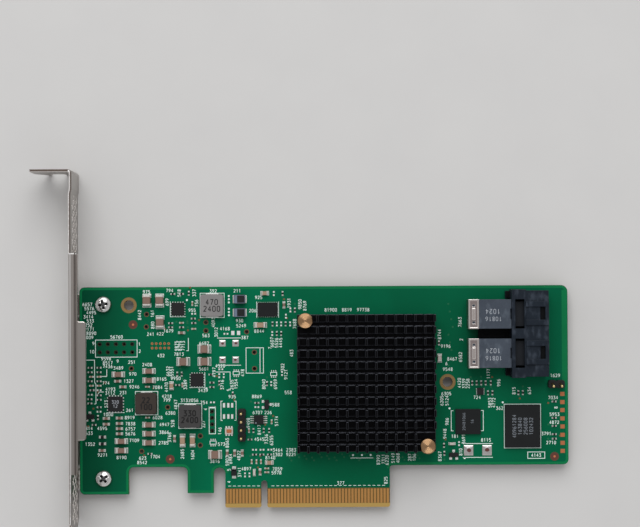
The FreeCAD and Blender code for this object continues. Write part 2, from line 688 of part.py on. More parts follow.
def port_housing():
    """The moulded socket: a cavity, a window and a latch frame per port, and a web between the blocks."""
    front_u = HOUSING_U[1]
    body = box(HOUSING_U[0], HOUSING_STEP_U, PORTS_V - HOUSING_REAR_HALF, PORTS_V + HOUSING_REAR_HALF,
               0, HOUSING_HEIGHT)
    added = [box(HOUSING_STEP_U, front_u, PORTS_V - HOUSING_HALF, PORTS_V + HOUSING_HALF,
                 0, HOUSING_HEIGHT)]
    for way in (1, -1):
        lug = sorted([PORTS_V + way * REAR_LUG_V[0], PORTS_V + way * REAR_LUG_V[1]])
        added.append(box(REAR_LUG_U, HOUSING_U[0], lug[0], lug[1], 0, REAR_LUG_HEIGHT))
    cuts = []
    frame_top = HOUSING_HEIGHT + LATCH_RAISE
    web_half = PORT_PITCH / 2 - BLOCK_HALF - WEB_CLEAR
    added.append(box(WEB_U, HOUSING_U[0], PORTS_V - web_half, PORTS_V + web_half, 0, WEB_HEIGHT))
    panel_start, panel_end, panel_half = LATCH_PANEL
    for v in PORT_CENTRES:
        latch_v = v + LATCH_SHIFT_V
        added.append(box(LATCH_U, front_u, latch_v - LATCH_HALF, latch_v + LATCH_HALF,
                         HOUSING_HEIGHT, frame_top))
        cuts.append(box(panel_start, panel_end, latch_v - panel_half, latch_v + panel_half,
                        frame_top - LATCH_PANEL_DEPTH, frame_top))
        cuts.append(box(LATCH_POCKET_U, panel_end, latch_v - panel_half, latch_v + panel_half,
                        frame_top - LATCH_POCKET_DEPTH, frame_top))
        cuts.append(box(WINDOW_U[0], WINDOW_U[1], v - WINDOW_HALF, v + WINDOW_HALF,
                        CAVITY_Z[1], HOUSING_HEIGHT))
        cuts.append(box(CAVITY_BACK, front_u, v - CAVITY_HALF, v + CAVITY_HALF, CAVITY_Z[0], CAVITY_Z[1]))
        cuts.append(box(HOUSING_U[0], CAVITY_BACK, v - NOSE_HALF - NOSE_CLEAR, v + NOSE_HALF + NOSE_CLEAR,
                        NOSE_Z[0] - NOSE_CLEAR, NOSE_Z[1] + NOSE_CLEAR))
    return seat(body.multiFuse(added).cut(cuts).removeSplitter(), FRONT)


def port_block(v):
    """A wafer block with its slotted nose in the socket and its tail in the rear clip."""
    body = box(BLOCK_U, HOUSING_U[0], v - BLOCK_HALF, v + BLOCK_HALF, 0, BLOCK_HEIGHT)
    tail = box(TAIL_U, BLOCK_U, v - TAIL_HALF, v + TAIL_HALF, 0, TAIL_HEIGHT)
    nose = box(HOUSING_U[0], NOSE_END, v - NOSE_HALF, v + NOSE_HALF, NOSE_Z[0], NOSE_Z[1])
    cuts = [box(NOSE_END - CARD_SLOT_DEPTH, NOSE_END, v - CARD_SLOT_HALF, v + CARD_SLOT_HALF,
                z, z + CARD_SLOT_HEIGHT) for z in CARD_SLOT_Z]
    slot_u, slot_v, slot_deep = BLOCK_SLOT
    cuts.append(box(HOUSING_U[0] - slot_u, HOUSING_U[0], v - slot_v / 2, v + slot_v / 2,
                    BLOCK_HEIGHT - slot_deep, BLOCK_HEIGHT))
    return seat(body.multiFuse([tail, nose]).cut(cuts), FRONT)


def port_rear_clip(v):
    """A stamped clip over the wafers' tail, dished on top with a tongue and two slots."""
    body = box(CLIP_U, BLOCK_U, v - CLIP_HALF, v + CLIP_HALF, 0, CLIP_HEIGHT)
    inside_half = CLIP_HALF - CLIP_SHEET
    cuts = [box(CLIP_U + CLIP_SHEET, BLOCK_U, v - inside_half, v + inside_half, 0, CLIP_HEIGHT - CLIP_SHEET)]
    dish = box(CLIP_U + CLIP_RIM, BLOCK_U - CLIP_RIM, v - CLIP_HALF + CLIP_RIM, v + CLIP_HALF - CLIP_RIM,
               CLIP_HEIGHT - CLIP_DISH, CLIP_HEIGHT)
    middle_u = (CLIP_U + BLOCK_U) / 2
    tongue = block(middle_u, v, 2 * CLIP_TONGUE[0], 2 * CLIP_TONGUE[1], CLIP_HEIGHT - CLIP_DISH, CLIP_HEIGHT)
    cuts.append(dish.cut(tongue))
    slot_u, slot_v, slot_away = CLIP_SLOT
    for way in (1, -1):
        cuts.append(block(middle_u, v + way * slot_away, slot_u, slot_v,
                          CLIP_HEIGHT - CLIP_SHEET, CLIP_HEIGHT))
    return seat(body.cut(cuts), FRONT)


def port_0_block():
    return port_block(PORT_CENTRES[0])


def port_1_block():
    return port_block(PORT_CENTRES[1])


def port_0_rear_clip():
    return port_rear_clip(PORT_CENTRES[0])


def port_1_rear_clip():
    return port_rear_clip(PORT_CENTRES[1])


def port_board_locks():
    """Posts under the socket, each with a wider soldered foot on the board's back."""
    posts = []
    for v in LOCK_V:
        foot = peg(LOCK_U, v, LOCK_FOOT_R, BOARD_Z - LOCK_FOOT, BOARD_Z)
        posts.append(foot.fuse(peg(LOCK_U, v, LOCK_R, BOARD_Z, BOARD_TOP)))
    return group(posts)


def header_strip(pins, along_u):
    """A moulded header strip with nicked corners between its pins."""
    half = HEADER_BODY / 2
    chamfer = HEADER_CHAMFER
    side = []
    for k in range(len(pins)):
        start = (k - 0.5) * HEADER_PITCH
        end = start + HEADER_PITCH
        side += [(start, half - chamfer), (start + chamfer, half)]
        side += [(end - chamfer, half), (end, half - chamfer)]
    corners = []
    for along, across in side + [(along, -across) for along, across in reversed(side)]:
        if not corners or corners[-1] != (along, across):
            corners.append((along, across))
    origin_u, origin_v = pins[0]
    if along_u:
        points = [(origin_u + along, origin_v + across, 0) for along, across in corners]
    else:
        points = [(origin_u + across, origin_v + along, 0) for along, across in corners]
    body = plate(points, BOARD_TOP, BOARD_TOP + HEADER_HEIGHT)
    return body.cut([block(u, v, HEADER_PIN, HEADER_PIN, BOARD_TOP, BOARD_TOP + HEADER_HEIGHT)
                     for u, v in pins])


def header_pin(u, v, top, lean):
    """A square pin, upright through the board and strip; lean moves its tip down the card."""
    neck = BOARD_TOP + HEADER_HEIGHT
    half = HEADER_PIN / 2
    post = block(u, v, HEADER_PIN, HEADER_PIN, BOARD_Z - HEADER_PIN_TAIL, neck)
    corners = [Vec(u + a * half, v + b * half, neck) for a, b in ((-1, -1), (1, -1), (1, 1), (-1, 1))]
    tip = Part.Face(Part.makePolygon(corners + corners[:1]))
    return post.fuse(tip.extrude(Vec(0, -lean, top - HEADER_HEIGHT)))


def header_4_strip():
    return header_strip(four_pins(), False)


def header_4_pins():
    return group([header_pin(u, v, FOUR_PIN_TOP, 0) for u, v in four_pins()])


def header_2_strip():
    return header_strip(two_pins(), True)


def header_2_pins():
    return group([header_pin(u, v, TWO_PIN_TOP, TWO_PIN_LEAN) for u, v in two_pins()])


def inductor(u, v, length_u, length_v):
    """A pressed powder inductor with a terminal wrapped up each end."""
    body = plate(nipped(u, v, length_u, length_v, INDUCTOR_NIP), 0, INDUCTOR_HEIGHT)
    terminal = block(u, v, TERMINAL_SHARE * length_u, length_v + 2 * TERMINAL_PROUD, 0, TERMINAL_RISE)
    return seat(body.fuse(terminal), FRONT)


def inductor_upper():
    return inductor(*INDUCTOR_UPPER)


def inductor_left():
    return inductor(*INDUCTOR_LEFT)


def inductor_right():
    return inductor(*INDUCTOR_RIGHT)


def polymer_capacitors():
    """Moulded bodies with a bent strip terminal at each end."""
    length_u, length_v, height = POLYMER_BODY
    strip_u, strip_v, strip_rise = POLYMER_STRIP
    pieces = []
    for v in POLYMER_V:
        body = block(POLYMER_U, v, length_u, length_v, BODY_LIFT, height)
        strips = [block(POLYMER_U + way * POLYMER_STRIP_AT, v, strip_u, strip_v, 0, strip_rise)
                  for way in (1, -1)]
        pieces.append(seat(body.multiFuse(strips), FRONT))
    return group(pieces)


def flat_chip(u, v, length_u, length_v, height):
    return seat(block(u, v, length_u, length_v, 0, height), FRONT)


def power_controllers():
    return group([flat_chip(*chip_size) for chip_size in POWER_CONTROLLERS])


def power_stage():
    return flat_chip(*POWER_STAGE)


def regulator():
    return flat_chip(*REGULATOR)


def memory_small():
    return flat_chip(*MEMORY_SMALL)


def memory_large():
    return flat_chip(*MEMORY_LARGE)


def logic_chip():
    return flat_chip(*LOGIC_CHIP)


def gull_wing(reach_in, reach_out, exit_z, width):
    """The bent lead of a moulded chip, running out along +U from the body's side."""
    knee = reach_in + LEAD_KNEE_SHARE * (reach_out - reach_in)
    section = [(reach_in, exit_z), (knee, 0), (reach_out, 0), (reach_out, LEAD_THICK),
               (knee + LEAD_THICK, LEAD_THICK), (reach_in, exit_z + LEAD_THICK)]
    return prism_along_v(section, -width / 2, width / 2)


def leaded_chip(u, v, size, span, leads_per_side, pitch, side):
    """A moulded chip with a row of bent leads on its left and right."""
    length_u, length_v, height = size
    body = block(0, 0, length_u, length_v, BODY_LIFT, height)
    leads = []
    for way in (0, 180):
        for k in range(leads_per_side):
            lead = gull_wing(length_u / 2, span / 2, LEAD_EXIT_SHARE * height, LEAD_WIDTH_SHARE * pitch)
            lead.translate(Vec(0, (k - (leads_per_side - 1) / 2) * pitch, 0))
            lead.rotate(Vec(0, 0, 0), Vec(0, 0, 1), way)
            leads.append(lead)
    chip_body = body.multiFuse(leads)
    chip_body.translate(Vec(u, v, 0))
    return seat(chip_body, side)


def sense_amplifier():
    return leaded_chip(*SENSE_AMPLIFIER, FRONT)


def serial_memory():
    return leaded_chip(*SERIAL_MEMORY, BACK)


def interface_chip():
    return leaded_chip(*INTERFACE_CHIP, BACK)


def gate_chip():
    return leaded_chip(*GATE_CHIP, BACK)


def transistor(u, v, turn):
    """A three-lead moulded transistor."""
    length_u, length_v, height = TRANSISTOR_BODY
    body = block(0, 0, length_u, length_v, BODY_LIFT, height)
    lead_u, lead_v, lead_rise = TRANSISTOR_LEAD
    corners = [(TRANSISTOR_LEAD_AT, 0), (-TRANSISTOR_LEAD_AT, TRANSISTOR_LEAD_APART),
               (-TRANSISTOR_LEAD_AT, -TRANSISTOR_LEAD_APART)]
    piece = body.multiFuse([block(along, across, lead_u, lead_v, 0, lead_rise) for along, across in corners])
    piece.rotate(Vec(0, 0, 0), Vec(0, 0, 1), turn)
    piece.translate(Vec(u, v, 0))
    return seat(piece, FRONT)


def transistors():
    return group([transistor(*place) for place in TRANSISTORS])


def oscillator():
    """A small metal-lidded can on a ceramic base."""
    base_u, base_v, base_height = OSCILLATOR_BASE
    lid_u, lid_v, lid_height = OSCILLATOR_LID
    base = block(*OSCILLATOR, base_u, base_v, 0, base_height)
    lid = plate(nipped(*OSCILLATOR, lid_u, lid_v, OSCILLATOR_LID_NIP), base_height, base_height + lid_height)
    return seat(base.fuse(lid), FRONT)


def diode():
    body_u, body_v, body_height = DIODE_BODY
    strap_u, strap_v, strap_height = DIODE_STRAP
    body = block(*DIODE, body_u, body_v, BODY_LIFT, body_height)
    return seat(body.fuse(block(*DIODE, strap_u, strap_v, 0, strap_height)), FRONT)


def chip(u, v, size, along_u, side):
    """A chip capacitor or bead: a ceramic body with a proud metal band on each end."""
    length, width, height = size
    band = CAP_BAND * length
    core = block(0, 0, length - band, width - 2 * CAP_PROUD, CAP_PROUD, height - CAP_PROUD)
    ends = [block(way * (length - band) / 2, 0, band, width, 0, height) for way in (1, -1)]
    piece = core.multiFuse(ends)
    if not along_u:
        piece.rotate(Vec(0, 0, 0), Vec(0, 0, 1), 90)
    piece.translate(Vec(u, v, 0))
    return seat(piece, side)


def plain_chip(u, v, size, along_u, side):
    length, width, height = size
    if along_u:
        return seat(block(u, v, length, width, 0, height), side)
    return seat(block(u, v, width, length, 0, height), side)


def chips(size, along_u_places, along_v_places, side, make):
    return group([make(u, v, size, True, side) for u, v in along_u_places]
                 + [make(u, v, size, False, side) for u, v in along_v_places])


def capacitors_1210_front():
    return chips(CHIP_1210, FRONT_1210_U, FRONT_1210_V, FRONT, chip)


def capacitors_1206_front():
    return chips(CHIP_1206, FRONT_1206_U, FRONT_1206_V, FRONT, plain_chip)


def capacitors_0805_front():
    return chips(CHIP_0805, FRONT_0805_U, FRONT_0805_V, FRONT, plain_chip)


def capacitors_0603_front():
    return chips(CHIP_0603, FRONT_0603_U, FRONT_0603_V, FRONT, plain_chip)


def capacitors_1206_back():
    return chips(CHIP_1206, BACK_1206_U, BACK_1206_V, BACK, plain_chip)


def capacitors_0805_back():
    return chips(CHIP_0805, BACK_0805_U, BACK_0805_V, BACK, plain_chip)


def ferrite_beads_back():
    return chips(CHIP_0805, BEADS_U, BEADS_V, BACK, plain_chip)


def capacitors_0603_back():
    return chips(CHIP_0603, BACK_0603_U, BACK_0603_V, BACK, plain_chip)


def label(name):
    return seat(box(*LABELS[name], 0, LABEL_THICK), BACK)


NODES = [
    board, edge_contacts_front, edge_contacts_back, bracket, bracket_screws, heat_sink, push_pins,
    pin_springs, controller_package, thermal_pad, port_housing, port_0_block, port_1_block,
    port_0_rear_clip, port_1_rear_clip, port_board_locks,
    header_4_strip, header_4_pins, header_2_strip, header_2_pins, inductor_upper, inductor_left,
    inductor_right, polymer_capacitors, power_controllers, power_stage, regulator, memory_small,
    memory_large, sense_amplifier, logic_chip, serial_memory, interface_chip, gate_chip, transistors,
    oscillator, diode, capacitors_1210_front, capacitors_1206_front, capacitors_0805_front,
    capacitors_0603_front, capacitors_1206_back, capacitors_0805_back,
    ferrite_beads_back, capacitors_0603_back,
]

# The middle of the footprint, at the bracket's lower edge, becomes the origin.
FOOTPRINT_CENTRE = Vec((TOP_TAB_END + BOARD_LENGTH) / 2, (BRACKET_TIP + BRACKET_TOP) / 2, 0)


def write(name, shape):
    shape.translate(FOOTPRINT_CENTRE * -1)
    shape.exportStep("parts/" + name + ".step")
    print(name, "solids", len(shape.Solids), "valid", shape.isValid(), "mm3", round(shape.Volume, 1))


os.makedirs("parts", exist_ok=True)
for make in NODES:
    write(make.__name__, make())
for label_name in LABELS:
    write(label_name, label(label_name))
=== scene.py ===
# %% [markdown]
# A host bus adapter card lies component side up on a pale table, with its slot bracket on the left.
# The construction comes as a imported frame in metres. Everything here is looks: finishes for the pieces
# that came with the frame, and the fine parts that only a close look shows, such as chips of one
# millimetre, printed legend, solder and plated rings.

# %% Load the frame
import math
from itertools import product

import bmesh
import bpy
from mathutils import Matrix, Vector


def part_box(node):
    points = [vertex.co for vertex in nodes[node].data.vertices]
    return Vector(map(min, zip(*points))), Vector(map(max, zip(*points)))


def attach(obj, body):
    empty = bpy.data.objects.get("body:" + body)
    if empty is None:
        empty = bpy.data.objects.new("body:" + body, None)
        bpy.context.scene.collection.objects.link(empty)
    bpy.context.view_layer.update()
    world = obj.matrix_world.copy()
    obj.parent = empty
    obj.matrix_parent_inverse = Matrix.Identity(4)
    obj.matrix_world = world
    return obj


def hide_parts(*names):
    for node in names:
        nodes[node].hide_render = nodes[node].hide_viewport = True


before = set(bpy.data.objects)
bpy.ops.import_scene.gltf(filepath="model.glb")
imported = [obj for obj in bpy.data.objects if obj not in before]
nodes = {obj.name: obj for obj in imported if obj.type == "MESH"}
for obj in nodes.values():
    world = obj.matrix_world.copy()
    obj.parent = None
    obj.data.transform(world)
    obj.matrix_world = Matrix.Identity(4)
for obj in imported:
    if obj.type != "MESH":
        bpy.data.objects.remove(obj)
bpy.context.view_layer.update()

print(len(nodes), "nodes in the frame")

# %% [markdown]
# A card designer measures from the board's lower left corner: u runs along the card, v up from the
# tongue's edge, and heights count from the board's face. Those are kept here in millimetres, and a few
# functions turn them into the frame's metres, so that each number below can be held against a ruler.

# %% Places on the board
MM = 0.001
FRONT = 1
BACK = -1
board_low, board_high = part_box("board")
FACE = board_high.z / MM
UNDER = board_low.z / MM


def x_at(u):
    """The frame's x of a place u millimetres along the card."""
    return board_low.x + u * MM


def y_at(v):
    """The frame's y of a place v millimetres up the card."""
    return board_low.y + v * MM


def spot(u, v, z):
    """A point in the frame, from millimetres along the card, up the card and above the table."""
    return (x_at(u), y_at(v), z * MM)


def level(side, height):
    """The height above the table of something that stands off the board's front or back."""
    return FACE + height if side == FRONT else UNDER - height


print("board face at", round(FACE, 2), "mm, underside at", round(UNDER, 2), "mm")

# %% [markdown]
# The photograph was taken from almost straight above with a long lens. The focal length in pixels
# and the height together fix the scale, about 3.2 pixels to a millimetre on the board's face. The
# camera leans a little up the card, so the point right below it lies under the picture's middle.

# %% Camera
IMAGE_WIDTH = 640
SENSOR = 36.0
FOCAL_PIXELS = 1968.0
CAMERA_PLACE = (76.25, 67.2, 618.5)
CAMERA_TURN = (0.82, 0.1, -0.29)


def placed(name, data):
    """A new object with its data, put into the scene."""
    made = bpy.data.objects.new(name, data)
    bpy.context.scene.collection.objects.link(made)
    return made


camera_data = bpy.data.cameras.new("camera")
camera_data.sensor_width = SENSOR
camera_data.lens = FOCAL_PIXELS * SENSOR / IMAGE_WIDTH
camera = placed("camera", camera_data)
camera.location = spot(*CAMERA_PLACE)
camera.rotation_euler = [math.radians(turn) for turn in CAMERA_TURN]
bpy.context.scene.camera = camera
bpy.context.scene.view_settings.view_transform = "Standard"
print("lens", round(camera_data.lens, 1), "mm")

# %% [markdown]
# A finish is a node material. To keep its recipe readable, a number that varies over the surface is
# wrapped in a small class, so 1 - mask or 0.3 + 0.1 * grain adds the Math nodes by itself. An operator
# comes with its reflected form, which Python asks for when the plain number stands on the left.

# %% Shader sums
def math_node(operation):
    """An operator and its reflected form, each of which adds one Math node."""
    def plain(value, other):
        return value.owner.node("Math", {"operation": operation}, {0: value, 1: other})

    def reflected(value, other):
        return value.owner.node("Math", {"operation": operation}, {0: other, 1: value})

    return plain, reflected


class Value:
    """A number that varies over a surface, with sums that become Math nodes."""

    def __init__(self, owner, socket):
        self.owner = owner
        self.socket = socket

    __add__, __radd__ = math_node("ADD")
    __sub__, __rsub__ = math_node("SUBTRACT")
    __mul__, __rmul__ = math_node("MULTIPLY")
    __gt__ = math_node("GREATER_THAN")[0]
    __lt__ = math_node("LESS_THAN")[0]


print("values can be added, subtracted, multiplied and compared")

# %% [markdown]
# Any other node comes from one method, which takes the node's type, its settings and what goes into its
# sockets. The light of the room needs nodes too, so the method has a class of its own. A finish is that
# class with a material, and with short words for what surfaces are described by: where a point is, which
# way it looks, a soft step between two values and a grain of so many to the millimetre.

# %% Nodes
class Nodes:
    """A node tree that grows by one method."""

    def __init__(self, tree):
        self.tree = tree

    def node(self, kind, settings=None, sockets=None, output=0):
        """Adds a node with its settings, fills its sockets and gives one of its outputs."""
        made = self.tree.nodes.new("ShaderNode" + kind)
        for name, value in (settings or {}).items():
            if name == "stops":
                for stop, (place, colour) in zip(made.color_ramp.elements, value):
                    stop.position = place
                    stop.color = colour
            else:
                setattr(made, name, value)
        for key, value in (sockets or {}).items():
            self.join(value, made.inputs[key])
        return Value(self, made.outputs[output])

    def join(self, value, socket):
        """Links a value to a socket, or sets the socket to a plain number or colour."""
        if isinstance(value, Value):
            self.tree.links.new(value.socket, socket)
        else:
            socket.default_value = value


print("one method adds every node")

# %% Finishes
class Finish(Nodes):
    """A material with one Principled shader."""

    def __init__(self, name, **constants):
        self.material = bpy.data.materials.new(name)
        self.material.use_nodes = True
        super().__init__(self.material.node_tree)
        self.shader = self.tree.nodes["Principled BSDF"]
        self.feed(**constants)

    def feed(self, **sockets):
        """Fills the shader's own sockets; an underscore stands for a space in a socket's name."""
        for name, value in sockets.items():
            self.join(value, self.shader.inputs[name.replace("_", " ")])
        return self

    def place(self):
        return self.node("TexCoord", output="Object")

    def axis(self, name, of=None):
        """One coordinate of a point of the surface, or of another vector."""
        return self.node("SeparateXYZ", None, {0: of or self.place()}, output=name)

    def facing(self, name):
        """How far a face looks along an axis, from -1 to 1."""
        return self.axis(name, self.node("NewGeometry", output="Normal"))

    def tilt(self):
        """How far a face looks up: 1 for level, 0 for upright, -1 for an underside."""
        return self.facing("Z")

    def step(self, value, start, end):
        """A soft rise from 0 to 1 between two values."""
        return self.node("MapRange", {"interpolation_type": "SMOOTHSTEP"}, {0: value, 1: start, 2: end})

    def grain(self, per_mm, detail=2.0, stretch=(1, 1, 1)):
        """Noise from 0 to 1, per_mm grains to a millimetre, drawn out along an axis by stretch."""
        shape = tuple(per_mm / MM * part for part in stretch)
        where = self.node("Mapping", None, {"Vector": self.place(), "Scale": shape})
        return self.node("TexNoise", None, {"Vector": where, "Scale": 1.0, "Detail": detail})

    def blend(self, share, first, second):
        """The first colour where share is 0, the second where it is 1."""
        return self.node("Mix", {"data_type": "RGBA"}, {0: share, 6: first, 7: second}, output=2)

    def patched(self, colour, patches):
        """A colour with others laid over it; a patch is a function for its place, and its colour."""
        for where, other in patches:
            colour = self.blend(where(self), colour, other)
        return colour

    def rough_up(self, height, depth_mm, strength=1.0):
        """Bends the surface's light as hills of that height would."""
        bump = self.node("Bump", None, {"Height": height, "Distance": depth_mm * MM, "Strength": strength})
        return self.feed(Normal=bump)


print("finishes are ready to mix")

# %% [markdown]
# The table is a plain pale sheet of laminate. It only has to catch the card's shadow and to be what the
# metal reflects, so it is one large face with faint flecks. Colours that can be compared with a screen
# are written as a screen counts them, from 0 to 255, and turned into the linear light of a shader.

# %% Table
TABLE_REACH = 1.6


def paint(red, green, blue):
    """A colour as a screen shows it, 0 to 255, in the linear light that shaders use."""
    def linear(part):
        share = part / 255
        return share / 12.92 if share <= 0.04045 else ((share + 0.055) / 1.055) ** 2.4

    return (linear(red), linear(green), linear(blue), 1.0)


TABLE_TONE = paint(205, 204, 202)
TABLE_FLECK = paint(196, 195, 194)

table_finish = Finish("table_laminate", Roughness=0.55, Specular_IOR_Level=0.3)
fleck = table_finish.grain(0.05, 3.0)
table_finish.feed(Base_Color=table_finish.blend(fleck * 0.6, TABLE_TONE, TABLE_FLECK))
table_finish.rough_up(table_finish.grain(1.5), 0.01, 0.3)

table_mesh = bpy.data.meshes.new("table")
corners = [(TABLE_REACH * a, TABLE_REACH * b, 0) for a, b in ((-1, -1), (1, -1), (1, 1), (-1, 1))]
table_mesh.from_pydata(corners, [], [(0, 1, 2, 3)])
table_mesh.materials.append(table_finish.material)
table = placed("table", table_mesh)
print("table", 2 * TABLE_REACH, "m across")

# %% [markdown]
# The light is a soft window high behind the card. The room overhead is dimmer than the window, which is
# why polished metal that faces straight up looks grey. One large lamp stands for the window, and the
# world's sky for the room: paler towards the walls, darker overhead. Both are kept at a level where a
# colour shows about as it is written.

# %% Light
WINDOW_PLACE = (-0.1, 1.3, 1.45)
WINDOW_SIZE = 1.8
WINDOW_WATTS = 26.0
ROOM_STOPS = [(0.25, (0.72, 0.72, 0.73, 1.0)), (0.95, (0.5, 0.5, 0.51, 1.0))]

window_data = bpy.data.lights.new("window", "AREA")
window_data.shape = "SQUARE"
window_data.size = WINDOW_SIZE
window_data.energy = WINDOW_WATTS
window = placed("window", window_data)
window.location = WINDOW_PLACE
window.rotation_euler = (-Vector(WINDOW_PLACE)).to_track_quat("-Z", "Y").to_euler()

room = bpy.data.worlds.new("room")
bpy.context.scene.world = room
room.use_nodes = True
sky = Nodes(room.node_tree)
height = sky.node("SeparateXYZ", None, {0: sky.node("TexCoord", output="Generated")}, output="Z")
room_light = sky.node("ValToRGB", {"stops": ROOM_STOPS}, {0: height})
sky.join(room_light, sky.tree.nodes["Background"].inputs["Color"])
print("window", WINDOW_WATTS, "W")

# %% [markdown]
# The board is glass laminate under a green solder mask. The green is not even: it is deeper near the
# bracket and brighter in the middle. The cut edges and the tongue have no mask and show the
# straw-coloured laminate. One material can tell these apart by the way a face looks and by its place
# on the card, so the board needs no paint map.

# %% Solder mask
MASK_DEEP = paint(2, 74, 49)
MASK_MID = paint(2, 92, 61)
MASK_BRIGHT = paint(0, 108, 73)
MASK_UNDER = paint(2, 62, 42)
LAMINATE = paint(82, 57, 32)
LAMINATE_EDGE = paint(150, 140, 84)
BEVEL_TONE = paint(182, 150, 86)
TONGUE_U = (45.35, 96.65)
MASK_EDGE_V = 6.05
DEEP_U = (4.0, 22.0)
BRIGHT_U = ((30.0, 44.0), (56.0, 70.0))
LEVEL = 0.99
UPWARD = 0.9


def solder_mask():
    """Green by its place on the card, bare laminate on the tongue and on the cut edges."""
    mask = Finish("solder_mask", Specular_IOR_Level=0.05)
    along, up_card, tilt = mask.axis("X"), mask.axis("Y"), mask.tilt()
    deep_end, bright_start, bright_end = [mask.step(along, x_at(start), x_at(end))
                                          for start, end in (DEEP_U, *BRIGHT_U)]
    bright = bright_start * (1 - bright_end)
    green_blotches = mask.step(mask.grain(0.045, 1.0), 0.42, 0.6)
    green = mask.blend(deep_end, MASK_DEEP, MASK_MID)
    green = mask.blend(0.7 * bright + 0.3 * deep_end * green_blotches, green, MASK_BRIGHT)
    green = mask.blend(tilt < -0.5, green, MASK_UNDER)
    warp, weft = [mask.grain(1.6, 2.0, stretch) for stretch in ((1.0, 0.35, 1.0), (0.35, 1.0, 1.0))]
    weave = warp * 0.5 + weft * 0.5
    green = mask.blend(weave * 0.25, green, MASK_DEEP)
    on_tongue = (up_card < y_at(MASK_EDGE_V)) * (along > x_at(TONGUE_U[0])) * (along < x_at(TONGUE_U[1]))
    bare = mask.blend(mask.grain(2.5) * 0.4, LAMINATE, LAMINATE_EDGE)
    bare = mask.blend((tilt < LEVEL) * (tilt > -LEVEL), bare, BEVEL_TONE)
    colour = mask.blend(on_tongue, green, bare)
    is_side = (tilt < UPWARD) * (tilt > -UPWARD)
    colour = mask.blend(is_side, colour, mask.blend(mask.grain(4.0), LAMINATE_EDGE, LAMINATE))
    mask.feed(Base_Color=colour, Roughness=0.3 + 0.15 * weave + 0.3 * is_side)
    return mask.rough_up(weave, 0.02, 0.35).material


MASK = solder_mask()
print("mask has", len(MASK.node_tree.nodes), "nodes")

# %% [markdown]
# Every metal on the card has its own story. The bracket is rolled steel plated with satin nickel, so
# its grain runs along its length and its colour is a warm grey. Screws and clips are brighter. The
# fingers are thin hard gold over nickel and look brown under a dim ceiling. Solder is bright but
# never flat. A metal's colour is what it reflects, so each one gets a tint, a roughness that
# wanders, and a shallow bump that bends its highlights.

# %% Metal recipe
def metal(name, tint, shade, roughness, per_mm, stretch=(1, 1, 1), depth_mm=0.01, strength=0.25, bare=1.0,
          patches=()):
    """A metal whose tint and polish wander a little, with patches of another colour."""
    finish = Finish(name, Metallic=bare)
    wander = finish.grain(per_mm, 3.0, stretch)
    broad = finish.grain(0.12, 2.0)
    colour = finish.patched(finish.blend(broad * 0.5 + wander * 0.4, tint, shade), patches)
    finish.feed(Base_Color=colour, Roughness=roughness - 0.08 + 0.16 * wander)
    finish.rough_up(wander, depth_mm, strength)
    return finish.material


print("a metal has a tint, a shade, a roughness and a grain")

# %% [markdown]
# The bracket does not look the same all over. The shears leave a dull half on the cut edge, and the
# other half gets a flecked painted highlight. A line of painted shade lies in the fold, painted
# highlights lie along the flange's rim and across its end, and the upright walls are painted a brighter
# tint, so that they throw more of the table's light back. Each such place is a function that is 1 there
# and 0 elsewhere, worked out from where a point is and which way it looks, so a finish can lay another
# colour on it.

# %% Cut edge of the bracket
FLANGE_V = (11.7, 79.4)
CUT_EDGE_U = -1.3
TAB_U = -1.9
JOGGLE_V = (97.4, 99.0)
JOGGLE_SHIFT = 0.3


def above_flange(finish):
    return finish.axis("Y") > y_at(FLANGE_V[1])


def beside_flange(finish):
    up_card = finish.axis("Y")
    return (up_card < y_at(FLANGE_V[1])) * (up_card > y_at(FLANGE_V[0]))


def sheared(finish):
    """The cut edge of the bracket's sheet, which looks up wherever the flange does not cover it."""
    return (finish.tilt() > UPWARD) * (1 - beside_flange(finish))


def outer_half(finish):
    """The half of the cut edge next to the bracket's outer face, which follows the strip's small step."""
    step = finish.step(finish.axis("Y"), *[y_at(v) for v in JOGGLE_V]) * JOGGLE_SHIFT * MM
    along = finish.axis("X") - step
    return (along < x_at(CUT_EDGE_U)) * (along > x_at(TAB_U))


def highlight_half(finish):
    """The half of the cut edge that gets a painted highlight: the outer one above the flange, the inner one
    below it.
    """
    above = above_flange(finish)
    outer = outer_half(finish)
    return above * outer + (1 - above) * (1 - outer)


print("flange from", FLANGE_V[0], "to", FLANGE_V[1], "mm up the card")

# %% Folds and walls of the bracket
FOLD_LINE_U = (-1.3, -0.82)
CREASE_U = ((-0.15, 0.15), (0.5, 1.5))
END_LINE = 0.4
SHEET_TOP = 18.42
RIM = 0.4


def crease_shade(finish):
    """The inside of the fold between the flange and its lip, where a line of shade is painted."""
    along = finish.axis("X")
    starts, ends = [[x_at(u) for u in pair] for pair in CREASE_U]
    fold = finish.step(along, *starts) * (1 - finish.step(along, *ends)) * (finish.tilt() > 0.3)
    return fold * beside_flange(finish)


def dull_edge_and_crease_shade(finish):
    """The dull half of the cut edge, and the painted shade in the crease."""
    return sheared(finish) * (1 - highlight_half(finish)) + 0.6 * crease_shade(finish)


def painted_highlights(finish):
    """Painted highlights: flecks along one half of the cut edge, and lines at the flange's end and fold."""
    flecks = 0.55 + 0.45 * finish.step(finish.grain(1.1, 2.0), 0.4, 0.55)
    at_end = finish.axis("Y") > y_at(FLANGE_V[1] - END_LINE)
    along = finish.axis("X")
    at_fold = (along > x_at(FOLD_LINE_U[0])) * (along < x_at(FOLD_LINE_U[1]))
    lines = (finish.tilt() > 0.5) * beside_flange(finish) * (at_end + 0.45 * at_fold * (1 - at_end))
    return sheared(finish) * highlight_half(finish) * flecks + lines


def painted_lit_wall(finish):
    """The strip's outer face, and beside the flange its inner face too, painted a brighter tint so that they
    throw more light round them.
    """
    across = finish.facing("X")
    return (across < -UPWARD) + (across > UPWARD) * beside_flange(finish)


def inner_wall(finish):
    """The strip's inner face above the flange, painted a little paler than the rest as the light that the
    table throws on it.
    """
    return (finish.facing("X") > 0.5) * above_flange(finish)


